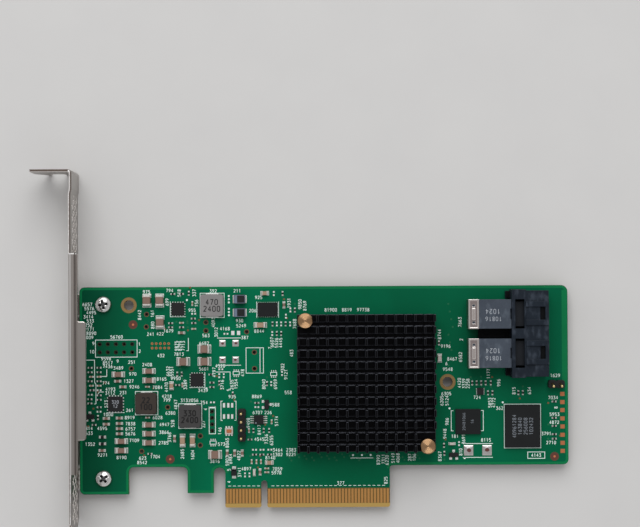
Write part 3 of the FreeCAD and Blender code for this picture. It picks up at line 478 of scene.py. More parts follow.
def inner_edge(finish):
    """Edges that look towards the board, where the painted edge highlight is toned down, and the crease's
    painted shade.
    """
    beside = beside_flange(finish)
    rim = finish.axis("Z") > (SHEET_TOP - RIM) * MM
    across = (finish.facing("X") > 0.2) * (0.85 * beside + (1 - beside) * (0.35 + 0.55 * rim))
    return across * (1 - crease_shade(finish)) + crease_shade(finish)


def tab_edge(finish):
    """The far edge of the bent tab, still brown from the shears."""
    return (finish.facing("Y") > 0.2) * (finish.axis("Y") > y_at(JOGGLE_V[1]))


# The patches paint shade in the fold, highlights on the cut edge and the flange, and brighter tints on the
# walls.
NICKEL_SHEET = metal("nickel_sheet", (0.34, 0.312, 0.29, 1), (0.25, 0.228, 0.21, 1), 0.36, 3.0, (1, 0.06, 1),
                     patches=((dull_edge_and_crease_shade, (0.13, 0.1, 0.085, 1)), (painted_highlights, (0.96, 0.94, 0.92, 1)),
                              (inner_wall, (0.38, 0.355, 0.33, 1)), (painted_lit_wall, (0.74, 0.71, 0.68, 1))))
# The bevelled edges are tinted near white, a painted highlight on top of what their rounds reflect.
EDGE_HIGHLIGHT = metal("edge_highlight", (0.95, 0.92, 0.89, 1), (0.55, 0.5, 0.46, 1), 0.3, 1.5,
                  patches=((inner_edge, (0.2, 0.18, 0.165, 1)), (tab_edge, (0.07, 0.055, 0.05, 1))))
print("bracket nickel has", len(NICKEL_SHEET.node_tree.nodes), "nodes")

# %% [markdown]
# The other metals are simpler, a line each. A rear clip is dished, and its floor is painted darker than
# its rim, as shade, because it sees less of the room. Solder and tin are lumpy, which is a deeper bump,
# and where flux or a thin oxide dulls them they are less than fully metallic.

# %% Other metals
CLIP_RIM_HIGH = 8.16
LUMPY = {"depth_mm": 0.03, "strength": 0.5}


def dished(finish):
    """What lies lower than a rear clip's rim, where shade is painted."""
    return finish.axis("Z") < (FACE + CLIP_RIM_HIGH) * MM


# The clips' bevelled rims are tinted near white, a painted highlight on top of what they reflect.
CLIP_EDGE = metal("clip_edge", (0.95, 0.92, 0.89, 1), (0.6, 0.56, 0.53, 1), 0.3, 3.0)
CLIP_NICKEL = metal("clip_nickel", (0.54, 0.485, 0.455, 1), (0.42, 0.37, 0.35, 1), 0.3, 4.0,
                    patches=((dished, (0.31, 0.262, 0.25, 1)),))
STEEL = metal("screw_steel", (0.74, 0.73, 0.71, 1), (0.52, 0.51, 0.5, 1), 0.22, 3.0)
SPRING_STEEL = metal("spring_steel", (0.6, 0.58, 0.56, 1), (0.4, 0.4, 0.4, 1), 0.3, 5.0)
# The cross recess is painted dark, as the shade inside it.
RECESS_SHADE = metal("recess_shade", (0.16, 0.16, 0.16, 1), (0.06, 0.06, 0.06, 1), 0.3, 3.0)
GOLD = metal("contact_gold", (0.72, 0.38, 0.125, 1), (0.56, 0.265, 0.082, 1), 0.3, 3.0, (1, 0.12, 1))
HEADER_GOLD = metal("header_gold", (0.82, 0.62, 0.3, 1), (0.62, 0.44, 0.2, 1), 0.28, 4.0)
BRASS = metal("turned_brass", (0.38, 0.235, 0.128, 1), (0.3, 0.175, 0.088, 1), 0.24, 3.0)
WORN_ANODISED = metal("worn_anodised", (0.045, 0.047, 0.055, 1), (0.03, 0.032, 0.038, 1), 0.35, 4.0)
TIN = metal("tin", (0.8, 0.79, 0.76, 1), (0.56, 0.54, 0.52, 1), 0.24, 5.0, **LUMPY)
SOLDER = metal("solder", (0.95, 0.95, 0.93, 1), (0.74, 0.74, 0.73, 1), 0.34, 5.0, bare=0.75, **LUMPY)
CAP_TIN = metal("cap_tin", (0.78, 0.75, 0.71, 1), (0.56, 0.53, 0.5, 1), 0.4, 5.0, bare=0.6, **LUMPY)
BLOTCHED_TIN = metal("blotched_tin", (0.95, 0.94, 0.92, 1), (0.12, 0.07, 0.06, 1), 0.22, 0.9,
                     depth_mm=0.1, strength=0.8)
COPPER = metal("masked_copper", (0.5, 0.17, 0.065, 1), (0.38, 0.12, 0.045, 1), 0.5, 4.0, bare=0.5)
DARK_COPPER = metal("dark_copper", (0.2, 0.085, 0.045, 1), (0.13, 0.055, 0.03, 1), 0.5, 4.0, bare=0.5)
print(len(bpy.data.materials), "materials so far")

# %% [markdown]
# Moulded, pressed and fired parts share one recipe: a base colour that drifts, a fine grain in the
# surface, and a soft sheen. Chip bodies are black epoxy filled with silica, the sockets are a
# blue-grey nylon with glass in it, inductors are pressed iron powder, and chip capacitors are fired
# ceramic. Only the colours, the grain and the sheen differ.

# %% Plastics, powder and ceramic
SOCKET_BACK_U = 134.1
POCKET_HIGH = 8.3


def moulded(name, tint, shade, roughness, per_mm, depth_mm=0.015, sheen=0.3, patches=()):
    """A moulding whose colour drifts from tint to shade, with patches of another colour."""
    finish = Finish(name, Specular_IOR_Level=sheen)
    fine = finish.grain(per_mm, 3.0)
    broad = finish.grain(0.2, 2.0)
    colour = finish.patched(finish.blend(broad * 0.6 + fine * 0.4, tint, shade), patches)
    finish.feed(Base_Color=colour, Roughness=roughness - 0.1 + 0.2 * fine)
    finish.rough_up(fine, depth_mm, 0.4)
    return finish.material


def in_socket(finish):
    """The part of a wafer block that the socket's housing covers, painted dark as the shade inside the
    housing.
    """
    return finish.axis("X") > x_at(SOCKET_BACK_U)


def below_lid(finish):
    """Floors of the socket's pockets, painted dark as the shade in them."""
    return (finish.axis("Z") < (FACE + POCKET_HIGH) * MM) * (finish.tilt() > UPWARD)


def dusty(finish):
    """Pale smears on a moulding that has been handled."""
    return 0.5 * finish.step(finish.grain(0.55, 4.0, (1, 0.5, 1)), 0.48, 0.72) * (finish.tilt() > 0.5)


CHIP_MOULD = moulded("chip_mould", paint(23, 25, 27), paint(14, 16, 17), 0.55, 8.0, sheen=0.2)
DARK_MOULD = moulded("dark_mould", paint(18, 19, 21), paint(12, 12, 14), 0.45, 8.0)
# The socket's pocket floors are painted dark, as shade.
SOCKET_NYLON = moulded("socket_nylon", paint(34, 42, 52), paint(17, 22, 29), 0.5, 1.8, sheen=0.1,
                       patches=((dusty, paint(70, 78, 89)), (below_lid, paint(5, 6, 8))))
# The part of each block inside the housing is painted dark, as shade.
BLOCK_NYLON = moulded("block_nylon", paint(72, 80, 91), paint(48, 55, 65), 0.5, 2.2, sheen=0.2,
                      patches=((dusty, paint(94, 103, 113)), (in_socket, paint(22, 26, 32))))
HEADER_NYLON = moulded("header_nylon", paint(20, 20, 21), paint(13, 13, 14), 0.5, 6.0)
BLACK_ANODISED = moulded("black_anodised", paint(7, 7, 9), paint(3, 3, 5), 0.5, 6.0, 0.01, 0.06)
PALE_POWDER = moulded("pale_powder", paint(138, 136, 135), paint(116, 114, 113), 0.6, 9.0, 0.03)
BROWN_POWDER = moulded("brown_powder", paint(60, 50, 43), paint(44, 37, 32), 0.6, 9.0, 0.03)
GREY_POWDER = moulded("grey_powder", paint(66, 65, 64), paint(50, 49, 49), 0.6, 9.0, 0.03)
CERAMIC_BROWN = moulded("ceramic_brown", paint(136, 110, 98), paint(116, 92, 80), 0.45, 6.0)
CERAMIC_TAN = moulded("ceramic_tan", paint(168, 142, 120), paint(146, 120, 98), 0.45, 6.0)
CERAMIC_WHITE = moulded("ceramic_white", paint(205, 198, 190), paint(178, 170, 164), 0.5, 6.0)
RESISTOR_BLACK = moulded("resistor_black", paint(20, 20, 22), paint(10, 10, 12), 0.35, 8.0)
BEAD_GREY = moulded("bead_grey", paint(52, 52, 54), paint(36, 36, 38), 0.5, 8.0)
PAD_GREY = moulded("pad_grey", paint(150, 150, 152), paint(128, 128, 130), 0.8, 5.0)
print(len(bpy.data.materials), "materials so far")

# %% [markdown]
# Inks, paper and the films on the board are so thin that only their colour and sheen can be seen, so the
# same recipe serves with almost no bump. Tracks and vias lie under the mask and differ from it by
# a shade. The sights are the round marks that a placement camera looks for.

# %% Inks, paper and films
INK = moulded("legend_ink", paint(238, 248, 244), paint(222, 238, 232), 0.6, 6.0, 0.005)
LABEL_PAPER = moulded("label_paper", paint(226, 226, 224), paint(212, 212, 211), 0.6, 4.0, 0.01)
LABEL_INK = moulded("label_ink", paint(52, 52, 58), paint(34, 34, 40), 0.6, 5.0, 0.005)
INK_GREY = moulded("grey_ink", paint(122, 128, 134), paint(104, 110, 118), 0.6, 6.0, 0.005)
INK_PALE = moulded("pale_ink", paint(176, 180, 186), paint(150, 155, 162), 0.6, 6.0, 0.005)
TRACK_GREEN = moulded("track_green", paint(8, 104, 72), paint(6, 92, 62), 0.35, 3.0, 0.005, 0.1)
VIA_GREEN = moulded("via_green", paint(44, 112, 78), paint(30, 96, 66), 0.35, 4.0, 0.005, 0.15)
MARGIN_GREEN = moulded("margin_green", paint(8, 118, 70), paint(6, 106, 62), 0.35, 2.0, 0.005, 0.1)
STRIPE_BLUE = moulded("stripe_blue", paint(110, 122, 140), paint(92, 104, 122), 0.5, 6.0, 0.005)
DARK_INK = moulded("dark_ink", paint(14, 13, 13), paint(9, 8, 8), 0.6, 6.0, 0.005)
SIGHT_RED = moulded("sight_red", paint(100, 56, 44), paint(84, 46, 37), 0.5, 3.0, 0.005)
SIGHT_DOT = moulded("sight_dot", paint(196, 118, 80), paint(176, 100, 66), 0.5, 3.0, 0.005)
FLUX = moulded("flux", paint(110, 62, 56), paint(70, 40, 38), 0.3, 2.0, 0.01)
# A ring painted dark round each pin hole, as the shade of the hole.
HOLE_SHADE = moulded("hole_shade", paint(34, 24, 17), paint(22, 16, 12), 0.5, 3.0, 0.005)
VIA_COPPER = moulded("via_copper", paint(138, 84, 48), paint(116, 70, 40), 0.5, 3.0, 0.005)
RING_LAMINATE = moulded("ring_laminate", paint(142, 116, 70), paint(120, 94, 54), 0.5, 6.0)
print(len(bpy.data.materials), "materials in all")

# %% [markdown]
# The frame's pieces come without a finish. Each is given the one of its real material here, and a piece
# that gets a finer copy further down is hidden by that copy.

# %% Finishes on the frame's own pieces
FRAME_FINISHES = (
    (MASK, "board"), (GOLD, "edge_contacts_front", "edge_contacts_back"), (NICKEL_SHEET, "bracket"),
    (STEEL, "bracket_screws"), (BLACK_ANODISED, "heat_sink"), (BRASS, "push_pins"),
    (SPRING_STEEL, "pin_springs"), (PAD_GREY, "thermal_pad"), (SOCKET_NYLON, "port_housing"),
    (BLOCK_NYLON, "port_0_block", "port_1_block"), (CLIP_NICKEL, "port_0_rear_clip", "port_1_rear_clip"),
    (TIN, "port_board_locks"), (HEADER_NYLON, "header_4_strip", "header_2_strip"),
    (HEADER_GOLD, "header_4_pins", "header_2_pins", "oscillator"), (PALE_POWDER, "inductor_upper"),
    (BROWN_POWDER, "inductor_left"), (GREY_POWDER, "inductor_right"),
    (DARK_MOULD, "polymer_capacitors", "power_controllers", "power_stage", "logic_chip", "transistors",
     "diode"),
    (CHIP_MOULD, "controller_package", "regulator", "memory_small", "memory_large"),
    (LABEL_PAPER, "address_label", "assembly_label", "serial_label", "blank_label"),
)
for material, *names in FRAME_FINISHES:
    for name in names:
        nodes[name].data.materials.clear()
        nodes[name].data.materials.append(material)
    print(material.name, "on", ", ".join(names))

# %% [markdown]
# The small parts are made by the hundred, so they are built from a few plain forms. Each form adds closed
# faces to a shape, and a shape becomes one piece with several finishes. The class is stacked from
# layers, so that each layer can be read by itself: first the gathering of faces and the making
# of the piece, which rides on the card and stands for the frame's nodes that it replaces.

# %% Gathering faces
def mounted(name, mesh, slot, *hidden):
    """A piece that rides on the card and stands for the hidden nodes; slot is not used."""
    made = placed(name, mesh)
    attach(made, "root")
    if hidden:
        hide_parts(*hidden)
    return made


class Faces:
    """Corners and faces in millimetres on the card, gathered into one piece."""

    def __init__(self, *finishes):
        self.finishes = list(finishes)
        self.corners = []
        self.faces = []
        self.kinds = []
        self.soft = []

    def add(self, corners, faces, finish, soft=False):
        start = len(self.corners)
        kind = self.finishes.index(finish)
        self.corners += corners
        for face in faces:
            self.faces.append([start + k for k in face])
            self.kinds.append(kind)
            self.soft.append(soft)

    def convex(self, corners, faces, finish):
        """A convex solid, with every face turned to look outwards."""
        middle = sum((Vector(corner) for corner in corners), Vector()) / len(corners)
        turned = []
        for face in faces:
            first, second, third = (Vector(corners[k]) for k in face[:3])
            outwards = (second - first).cross(third - first).dot(first - middle) > 0
            turned.append(face if outwards else face[::-1])
        self.add(corners, turned, finish)

    def mesh(self, name):
        """The shape as a mesh in the frame's metres."""
        mesh = bpy.data.meshes.new(name)
        mesh.from_pydata([spot(*corner) for corner in self.corners], [], self.faces)
        for material in self.finishes:
            mesh.materials.append(material)
        mesh.polygons.foreach_set("material_index", self.kinds)
        mesh.polygons.foreach_set("use_smooth", self.soft)
        mesh.validate()
        return mesh

    def piece(self, name, slot, *hidden):
        """The shape as a piece that stands for the hidden nodes."""
        made = mounted(name, self.mesh(name), slot, *hidden)
        print(name, len(made.data.polygons), "faces")
        return made


print("faces can be gathered")

# %% [markdown]
# The second layer adds solids that stand upright: a block with its edges nipped off, a loft through
# rings of corners, an extruded outline and a disc. A nipped block is what most small parts are, and
# its narrow cut edges catch the light as a real part's rounded edges do.

# %% Blocks and plates
def circle(u, v, radius, sides):
    """Places round a circle, counter-clockwise."""
    turns = [2 * math.pi * k / sides for k in range(sides)]
    return [(u + radius * math.cos(turn), v + radius * math.sin(turn)) for turn in turns]


def counter_clockwise(outline):
    """Whether a closed outline runs counter-clockwise, told by the sign of its area."""
    return sum(a[0] * b[1] - b[0] * a[1] for a, b in zip(outline, outline[1:] + outline[:1])) > 0


class Blocks(Faces):
    """Faces, and solids that stand upright."""

    def block(self, low, high, nip, finish):
        """A box from its low to its high corner, with each edge cut back by nip."""
        octants = list(product((0, 1), repeat=3))
        corners = []
        places = {}
        for signs in octants:
            for flat in range(3):
                cuts = [0 if k == flat else nip - 2 * nip * signs[k] for k in range(3)]
                places[signs, flat] = len(corners)
                corners.append(tuple((low, high)[signs[k]][k] + cuts[k] for k in range(3)))
        faces = [[places[signs, flat] for flat in range(3)] for signs in octants]
        for flat in range(3):
            across, along = [k for k in range(3) if k != flat]

            def octant(end, first, second):
                signs = {flat: end, across: first, along: second}
                return tuple(signs[k] for k in range(3))

            for end in (0, 1):
                square = [octant(end, *pair) for pair in ((0, 0), (1, 0), (1, 1), (0, 1))]
                faces.append([places[signs, flat] for signs in square])
            for pair in product((0, 1), repeat=2):
                near, far = octant(0, *pair), octant(1, *pair)
                faces.append([places[near, across], places[near, along],
                              places[far, along], places[far, across]])
        self.convex(corners, faces, finish)

    def loft(self, rings, finish):
        """A closed solid through rings of corners, each counter-clockwise as seen from above."""
        if rings[0][0][2] > rings[-1][0][2]:
            rings = rings[::-1]
        count = len(rings[0])
        last = (len(rings) - 1) * count
        faces = [list(range(count))[::-1], list(range(last, last + count))]
        for start in range(0, last, count):
            faces += [[start + k, start + (k + 1) % count, start + count + (k + 1) % count, start + count + k]
                      for k in range(count)]
        self.add([corner for ring in rings for corner in ring], faces, finish)

    def plate(self, outline, z0, z1, finish):
        """An outline of (u, v) corners, extruded between two heights."""
        line = outline if counter_clockwise(outline) else outline[::-1]
        self.loft([[(u, v, z) for u, v in line] for z in (z0, z1)], finish)

    def disc(self, u, v, radius, z0, z1, finish, sides=20):
        self.plate(circle(u, v, radius, sides), z0, z1, finish)


print("blocks, lofts, plates and discs are ready")

# %% [markdown]
# The third layer adds flat bands: a ring, and a strip of even width along a line, which is what ink,
# copper tracks and printed frames are. A strip's corners are mitred, like a picture frame's. A very sharp
# corner would run out into a spike, so its reach is limited.

# %% Bands and strips
LEAST_MITRE = 0.4


def sideways(points, away, closed):
    """A line of (u, v) points moved to its left by away, with mitred corners."""
    moved = []
    for k, point in enumerate(points):
        before = points[k - 1] if closed or k > 0 else None
        after = points[(k + 1) % len(points)] if closed or k < len(points) - 1 else None
        ways = [(b - a).normalized() for a, b in ((before, point), (point, after)) if a and b]
        normals = [Vector((-way.y, way.x)) for way in ways]
        mitre = sum(normals, Vector((0, 0))).normalized()
        moved.append(tuple(point + mitre * (away / max(mitre.dot(normals[0]), LEAST_MITRE))))
    return moved


class Bands(Blocks):
    """Blocks and plates, and flat bands."""

    def band(self, inner, outer, z0, z1, finish, closed=True):
        """A flat band between two lines that have the same number of corners."""
        low, high = sorted((z0, z1))
        count = len(outer)
        corners = [(u, v, z) for z in (low, high) for line in (inner, outer) for u, v in line]
        faces = []
        for k in range(count if closed else count - 1):
            n = (k + 1) % count
            faces += [[2 * count + k, 3 * count + k, 3 * count + n, 2 * count + n],
                      [k, n, count + n, count + k],
                      [count + k, count + n, 3 * count + n, 3 * count + k],
                      [k, 2 * count + k, 2 * count + n, n]]
        if not closed:
            last = count - 1
            faces += [[0, count, 3 * count, 2 * count],
                      [last, 2 * count + last, 3 * count + last, count + last]]
        self.add(corners, faces, finish)

    def ring(self, u, v, inner, outer, z0, z1, finish, sides=24):
        self.band(circle(u, v, inner, sides), circle(u, v, outer, sides), z0, z1, finish)

    def strip(self, path, width, z0, z1, finish):
        """A flat strip of even width along a line of (u, v) points, closed if it ends where it starts."""
        points = [Vector(point) for point in path]
        closed = (points[0] - points[-1]).length < 1e-6
        if closed:
            points.pop()
        left, right = [sideways(points, away, closed) for away in (width / 2, -width / 2)]
        if closed and not counter_clockwise(points):
            left, right = right[::-1], left[::-1]
        self.band(left, right, z0, z1, finish, closed)


print("bands, rings and strips are ready")

# %% [markdown]
# The last layer adds round work: a form turned on a lathe, given by half of its section, and a wire that
# follows a line. Both are shaded smooth unless a part's facets are wanted.

# %% Turned forms and wires
class Shape(Bands):
    """All the forms that a piece can be made of."""

    def turned(self, u, v, profile, finish, sides=32, soft=True):
        """A turned form about an upright axis, from (radius, height) points that start and end on it."""
        rings = []
        corners = []
        for radius, z in profile:
            places = circle(u, v, radius, sides) if radius else [(u, v)]
            rings.append(range(len(corners), len(corners) + len(places)))
            corners += [(*place, z) for place in places]
        faces = []
        for low, high in zip(rings, rings[1:]):
            for k in range(sides):
                n = (k + 1) % sides
                loop = [low[k % len(low)], low[n % len(low)], high[n % len(high)], high[k % len(high)]]
                faces.append([corner for i, corner in enumerate(loop) if corner not in loop[:i]])
        self.add(corners, faces, finish, soft)

    def wire(self, path, radius, finish, sides=8):
        """A round wire along a line of (u, v, z) points, closed at both ends."""
        points = [Vector(point) for point in path]
        corners = []
        for k, point in enumerate(points):
            way = (points[min(k + 1, len(points) - 1)] - points[max(k - 1, 0)]).normalized()
            across = way.cross(Vector((0, 0, 1))).normalized()
            over = way.cross(across)
            corners += [tuple(point + a * across + b * over) for a, b in circle(0, 0, radius, sides)]
        last = len(corners) - sides
        faces = [list(range(sides))[::-1], list(range(last, last + sides))]
        for start in range(0, last, sides):
            for s in range(sides):
                n = (s + 1) % sides
                faces.append([start + s, start + n, start + sides + n, start + sides + s])
        self.add(corners, faces, finish, True)


print("turned forms and wires are ready")

# %% [markdown]
# What scene and frame share is the place of each solid. A node can hold many solids, such as all chips of
# one size, so its mesh is sorted into groups of points that faces join, and each group gives a box.
# Pieces below take their places and sizes from these boxes.

# %% Solids of a node
def solids_of(node):
    """The low and high corners, in millimetres on the card, of each separate solid in a node."""
    mesh = nodes[node].data
    keys = [tuple(round(part / MM, 3) for part in vertex.co) for vertex in mesh.vertices]
    owner = {key: key for key in keys}

    def root(key):
        while owner[key] != key:
            key = owner[key]
        return key

    for polygon in mesh.polygons:
        first = root(keys[polygon.vertices[0]])
        for k in polygon.vertices[1:]:
            owner[root(keys[k])] = first
    groups = {}
    for key in owner:
        groups.setdefault(root(key), []).append(key)
    shift = (board_low.x / MM, board_low.y / MM, 0)
    boxes = []
    for points in groups.values():
        low, high = [tuple(end(p[k] for p in points) - shift[k] for k in range(3)) for end in (min, max)]
        boxes.append((low, high))
    return sorted(boxes)


def middle_of(low, high):
    """The middle (u, v) of a box."""
    return (low[0] + high[0]) / 2, (low[1] + high[1]) / 2


print(len(solids_of("capacitors_0603_front")), "chips of 1.6 by 0.8 mm on the front")

# %% [markdown]
# Sheet metal and mouldings never have knife edges: a press leaves a small roll-over and a mould has
# fillets, and those thin rounds are what shines. The frame's solids have square edges, so the pieces
# that are seen close get a copy with every sharp edge bevelled. The copy stands for the frame's piece,
# and only ever takes material away, so it stays where the frame says.

# %% Softened edges
SHARP = math.radians(35)
FLAT = math.radians(0.5)
SHORT = 0.05
LEFT_REACH = 0.3
SOFTENED = (
    (0.2, NICKEL_SHEET, "nickel_sheet", EDGE_HIGHLIGHT, ("bracket",)),
    (0.14, SOCKET_NYLON, "socket_plastic", None, ("port_housing",)),
    (0.12, BLOCK_NYLON, "socket_plastic", None, ("port_0_block", "port_1_block")),
    (0.08, CLIP_NICKEL, "clip_nickel", CLIP_EDGE, ("port_0_rear_clip", "port_1_rear_clip")),
    (0.15, BLACK_ANODISED, "black_anodised", WORN_ANODISED, ("heat_sink",)),
    (0.12, HEADER_NYLON, "header_plastic", None, ("header_4_strip", "header_2_strip")),
    (0.14, HEADER_GOLD, "header_gold", None, ("header_4_pins", "header_2_pins")),
    (0.08, CHIP_MOULD, "chip_mould", None, ("memory_small", "memory_large")),
    (0.06, CHIP_MOULD, "chip_mould", None, ("regulator",)),
    (0.06, DARK_MOULD, "chip_mould", None, ("power_controllers", "power_stage", "logic_chip")),
)


def sharp_edges(form, left):
    """The edges to be rounded: where two faces meet at an angle, but not at the heights v that are left."""
    sharp = []
    for line in form.edges:
        v = ((line.verts[0].co.y + line.verts[1].co.y) / 2 - board_low.y) / MM
        is_left = any(abs(v - end) <= LEFT_REACH for end in left)
        if not is_left and len(line.link_faces) == 2 and line.calc_face_angle() > SHARP:
            sharp.append(line)
    return sharp


def softened(node, width, finish, slot, edge):
    """A copy of a frame piece with its sharp edges rounded, and finished as edge if there is one."""
    form = bmesh.new()
    form.from_mesh(nodes[node].data)
    bmesh.ops.remove_doubles(form, verts=form.verts, dist=SHORT * MM)
    bmesh.ops.dissolve_limit(form, angle_limit=FLAT, verts=form.verts, edges=form.edges)
    bmesh.ops.connect_verts_concave(form, faces=form.faces)
    sharp = sharp_edges(form, FLANGE_V if node == "bracket" else ())
    bmesh.ops.bevel(form, geom=sharp, offset=width * MM, segments=2, profile=0.5, affect="EDGES",
                    clamp_overlap=False, material=1 if edge else -1)
    mesh = bpy.data.meshes.new(node + "_soft")
    form.to_mesh(mesh)
    form.free()
    for material in (finish, edge or finish):
        mesh.materials.append(material)
    print(node, "softened,", len(sharp), "edges")
    return mounted(node + "_soft", mesh, slot, node)


for width, finish, slot, edge, softened_nodes in SOFTENED:
    for node in softened_nodes:
        softened(node, width, finish, slot, edge)

# %% [markdown]
# Every small part is soldered to a place of its own, along the card or across it, on one side of the
# board. A seat keeps these facts together and turns a part's own lengths into places on the card, so
# that a chip is described once and can then lie any way.

# %% Seats
class Seat:
    """Where a small part stands: its middle, the way it lies and the side of the board."""

    def __init__(self, u, v, along_u=True, side=FRONT):
        self.u = u
        self.v = v
        self.along_u = along_u
        self.side = side

    def point(self, along, across, height):
        """A place on the card, from lengths along and across the part and a height off the board."""
        du, dv = (along, across) if self.along_u else (-across, along)
        return (self.u + du, self.v + dv, level(self.side, height))

    def fill(self, shape, low, high, nip, finish):
        """Adds a block between two such places to a shape."""
        pairs = list(zip(self.point(*low), self.point(*high)))
        shape.block(tuple(min(pair) for pair in pairs), tuple(max(pair) for pair in pairs), nip, finish)


def side_of(low):
    """The side of the board that a solid stands on, from its low corner."""
    return FRONT if low[2] > UNDER else BACK


print("seats are ready")

# %% [markdown]
# A chip capacitor is a fired ceramic brick whose two ends are dipped in metal. Solder climbs each end
# in a slope from a tinned pad. A chip resistor is a flat black film on white ceramic with the same
# ends. At this size there are hundreds of them, so one function makes the brick, the two caps, the
# two solder slopes and the two pads, and only the size and the body colour change.

# %% Chips
CAP_SHARE = 0.19
NIP_SHARE = 0.06
PROUD_SHARE = 0.03
PAD_THICK = 0.03
PAD_MORE = 0.08
PAD_WIDER = 1.08
SLOPE_RISE = 0.65
SLOPE_FACES = [[0, 1, 4], [2, 5, 3], [0, 2, 3, 1], [1, 3, 5, 4], [0, 4, 5, 2]]
LIFT = 0.002
THIN_NIP = 0.01


def chip(shape, seat, size, body):
    """One soldered chip of (length, width, height)."""
    length, width, height = size
    cap = CAP_SHARE * length
    half, side = length / 2, width / 2
    nip, proud = NIP_SHARE * width, PROUD_SHARE * width
    reach = 0.1 * length + 0.06
    seat.fill(shape, (cap - half, proud - side, PAD_THICK), (half - cap, side - proud, height - proud),
              nip, body)
    for way in (1, -1):
        outer = way * half
        seat.fill(shape, (way * (half - cap), -side, PAD_THICK), (outer, side, height), 1.5 * nip, CAP_TIN)
        slope = [seat.point(outer * 0.97, across, z) for across in (-side, side)
                 for z in (PAD_THICK, SLOPE_RISE * height)]
        slope += [seat.point(way * (half + reach), 0.85 * across, PAD_THICK) for across in (-side, side)]
        shape.convex(slope, SLOPE_FACES, SOLDER)
        seat.fill(shape, (way * (half - 1.3 * cap), -PAD_WIDER * side, LIFT),
                  (way * (half + reach + PAD_MORE), PAD_WIDER * side, PAD_THICK), THIN_NIP, SOLDER)


print("a chip is a body with two caps, slopes and pads")

# %% [markdown]
# The larger chips are solids of the frame, grouped by their size, which is named by its length and width
# in hundredths of an inch. Each is built again on its own box. A few in a group are of another colour
# than the rest, and those are found by their place.

# %% Chips of the frame
TAN_1206 = {(32.1, 21.0): CERAMIC_TAN, (35.2, 21.0): CERAMIC_TAN, (56.5, 56.9): CERAMIC_TAN}
WHITE_0805 = {(112.4, 46.3): CERAMIC_WHITE}
ODD_0603 = {(7.1, 22.2): RESISTOR_BLACK, (7.1, 20.1): RESISTOR_BLACK, (54.4, 10.9): CERAMIC_WHITE,
            (116.1, 19.6): CERAMIC_WHITE}
CHIP_GROUPS = (
    ("capacitors_1210", "capacitors_1210_front", CERAMIC_BROWN, "ceramic_tan", {}),
    ("capacitors_1206", "capacitors_1206_front", CERAMIC_BROWN, "ceramic_tan", TAN_1206),
    ("capacitors_0805", "capacitors_0805_front", CERAMIC_TAN, "ceramic_tan", WHITE_0805),
    ("capacitors_0603", "capacitors_0603_front", CERAMIC_BROWN, "ceramic_tan", ODD_0603),
    ("back_capacitors_1206", "capacitors_1206_back", CERAMIC_BROWN, "ceramic_tan", {}),
    ("back_capacitors_0805", "capacitors_0805_back", CERAMIC_BROWN, "ceramic_tan", {}),
    ("back_beads", "ferrite_beads_back", BEAD_GREY, "bead_dark", {}),
    ("back_capacitors_0603", "capacitors_0603_back", CERAMIC_TAN, "ceramic_tan", {}),
)

for name, node, body, slot, others in CHIP_GROUPS:
    shape = Shape(SOLDER, CAP_TIN, body, *others.values())
    for low, high in solids_of(node):
        length, width, height = [high[k] - low[k] for k in range(3)]
        u, v = [round(middle, 1) for middle in middle_of(low, high)]
        seat = Seat(u, v, length > width, side_of(low))
        chip(shape, seat, (max(length, width), min(length, width), height), others.get((u, v), body))
    shape.piece(name, slot, node)

# %% [markdown]
# The smallest chips are one millimetre long, black resistors and tan capacitors by the dozen. They are
# too fine for the frame, so their places are listed here, those that lie along the card apart from
# those that stand across it, and all of them become one piece.

# %% Smallest chips on the front
SMALL_CHIP = (1.0, 0.5, 0.4)
SMALL_U = [
    (3.3, 43.8), (3.3, 42.4), (3.3, 39.6), (3.9, 36.8), (3.2, 34.0), (3.2, 32.7), (4.5, 26.0),
    (6.1, 43.8), (6.1, 42.4), (6.1, 39.6), (6.1, 35.2), (6.1, 33.8), (6.1, 31.5), (29.2, 66.7),
    (31.9, 66.7), (35.6, 59.0), (35.7, 57.6), (28.5, 57.6), (28.5, 56.3), (31.9, 56.3), (30.6, 38.3),
    (41.0, 41.5), (41.3, 39.0), (41.3, 37.6), (21.9, 16.9), (53.1, 21.2), (55.3, 32.6), (54.5, 16.5),
    (56.8, 16.5), (59.2, 16.5), (148.0, 32.6), (148.0, 27.5), (148.0, 25.0), (148.0, 22.4), (148.0, 21.0),
]
SMALL_V = [
    (34.2, 66.9), (30.5, 41.7), (31.9, 41.7), (63.5, 66.7), (67.3, 61.5), (60.3, 57.2), (64.4, 57.2),
    (61.6, 54.2), (63.0, 54.2), (43.6, 38.9), (58.5, 38.6), (54.2, 24.0), (57.4, 24.0), (59.1, 24.0),
    (122.5, 38.5), (123.9, 38.5), (125.3, 38.5), (126.7, 38.5), (128.3, 38.5), (127.4, 35.4),
    (128.8, 35.4), (136.9, 35.4), (138.3, 35.4), (112.2, 51.0), (113.6, 19.1), (113.7, 16.6), (5.7, 28.3),
    (47.8, 35.4),
]
SMALL_TAN_U = [
    (3.7, 41.0), (3.7, 38.2), (6.1, 41.0), (6.1, 38.2), (21.2, 37.8), (21.2, 28.2), (31.9, 57.7),
    (35.7, 55.8), (58.3, 12.2), (58.3, 11.0),
]
SMALL_TAN_V = [
    (32.1, 38.3), (35.3, 63.7), (59.9, 26.7), (52.8, 24.0), (53.6, 14.3), (55.1, 14.3), (56.5, 14.3),
]

small_chips = Shape(SOLDER, CAP_TIN, RESISTOR_BLACK, CERAMIC_TAN)
for places, along_u, body in ((SMALL_U, True, RESISTOR_BLACK), (SMALL_V, False, RESISTOR_BLACK),
                              (SMALL_TAN_U, True, CERAMIC_TAN), (SMALL_TAN_V, False, CERAMIC_TAN)):
    for u, v in places:
        chip(small_chips, Seat(u, v, along_u), SMALL_CHIP, body)
small_chips.piece("smallest_chips_front", "bead_dark")

# %% [markdown]
# On the back most of the smallest chips stand in rows: a pair of coupling capacitors for each lane above
# the edge contacts, a few rows behind the memory chips, and a staggered grid behind the controller.
# Rows and grids are counted out, and only the stray chips are listed.

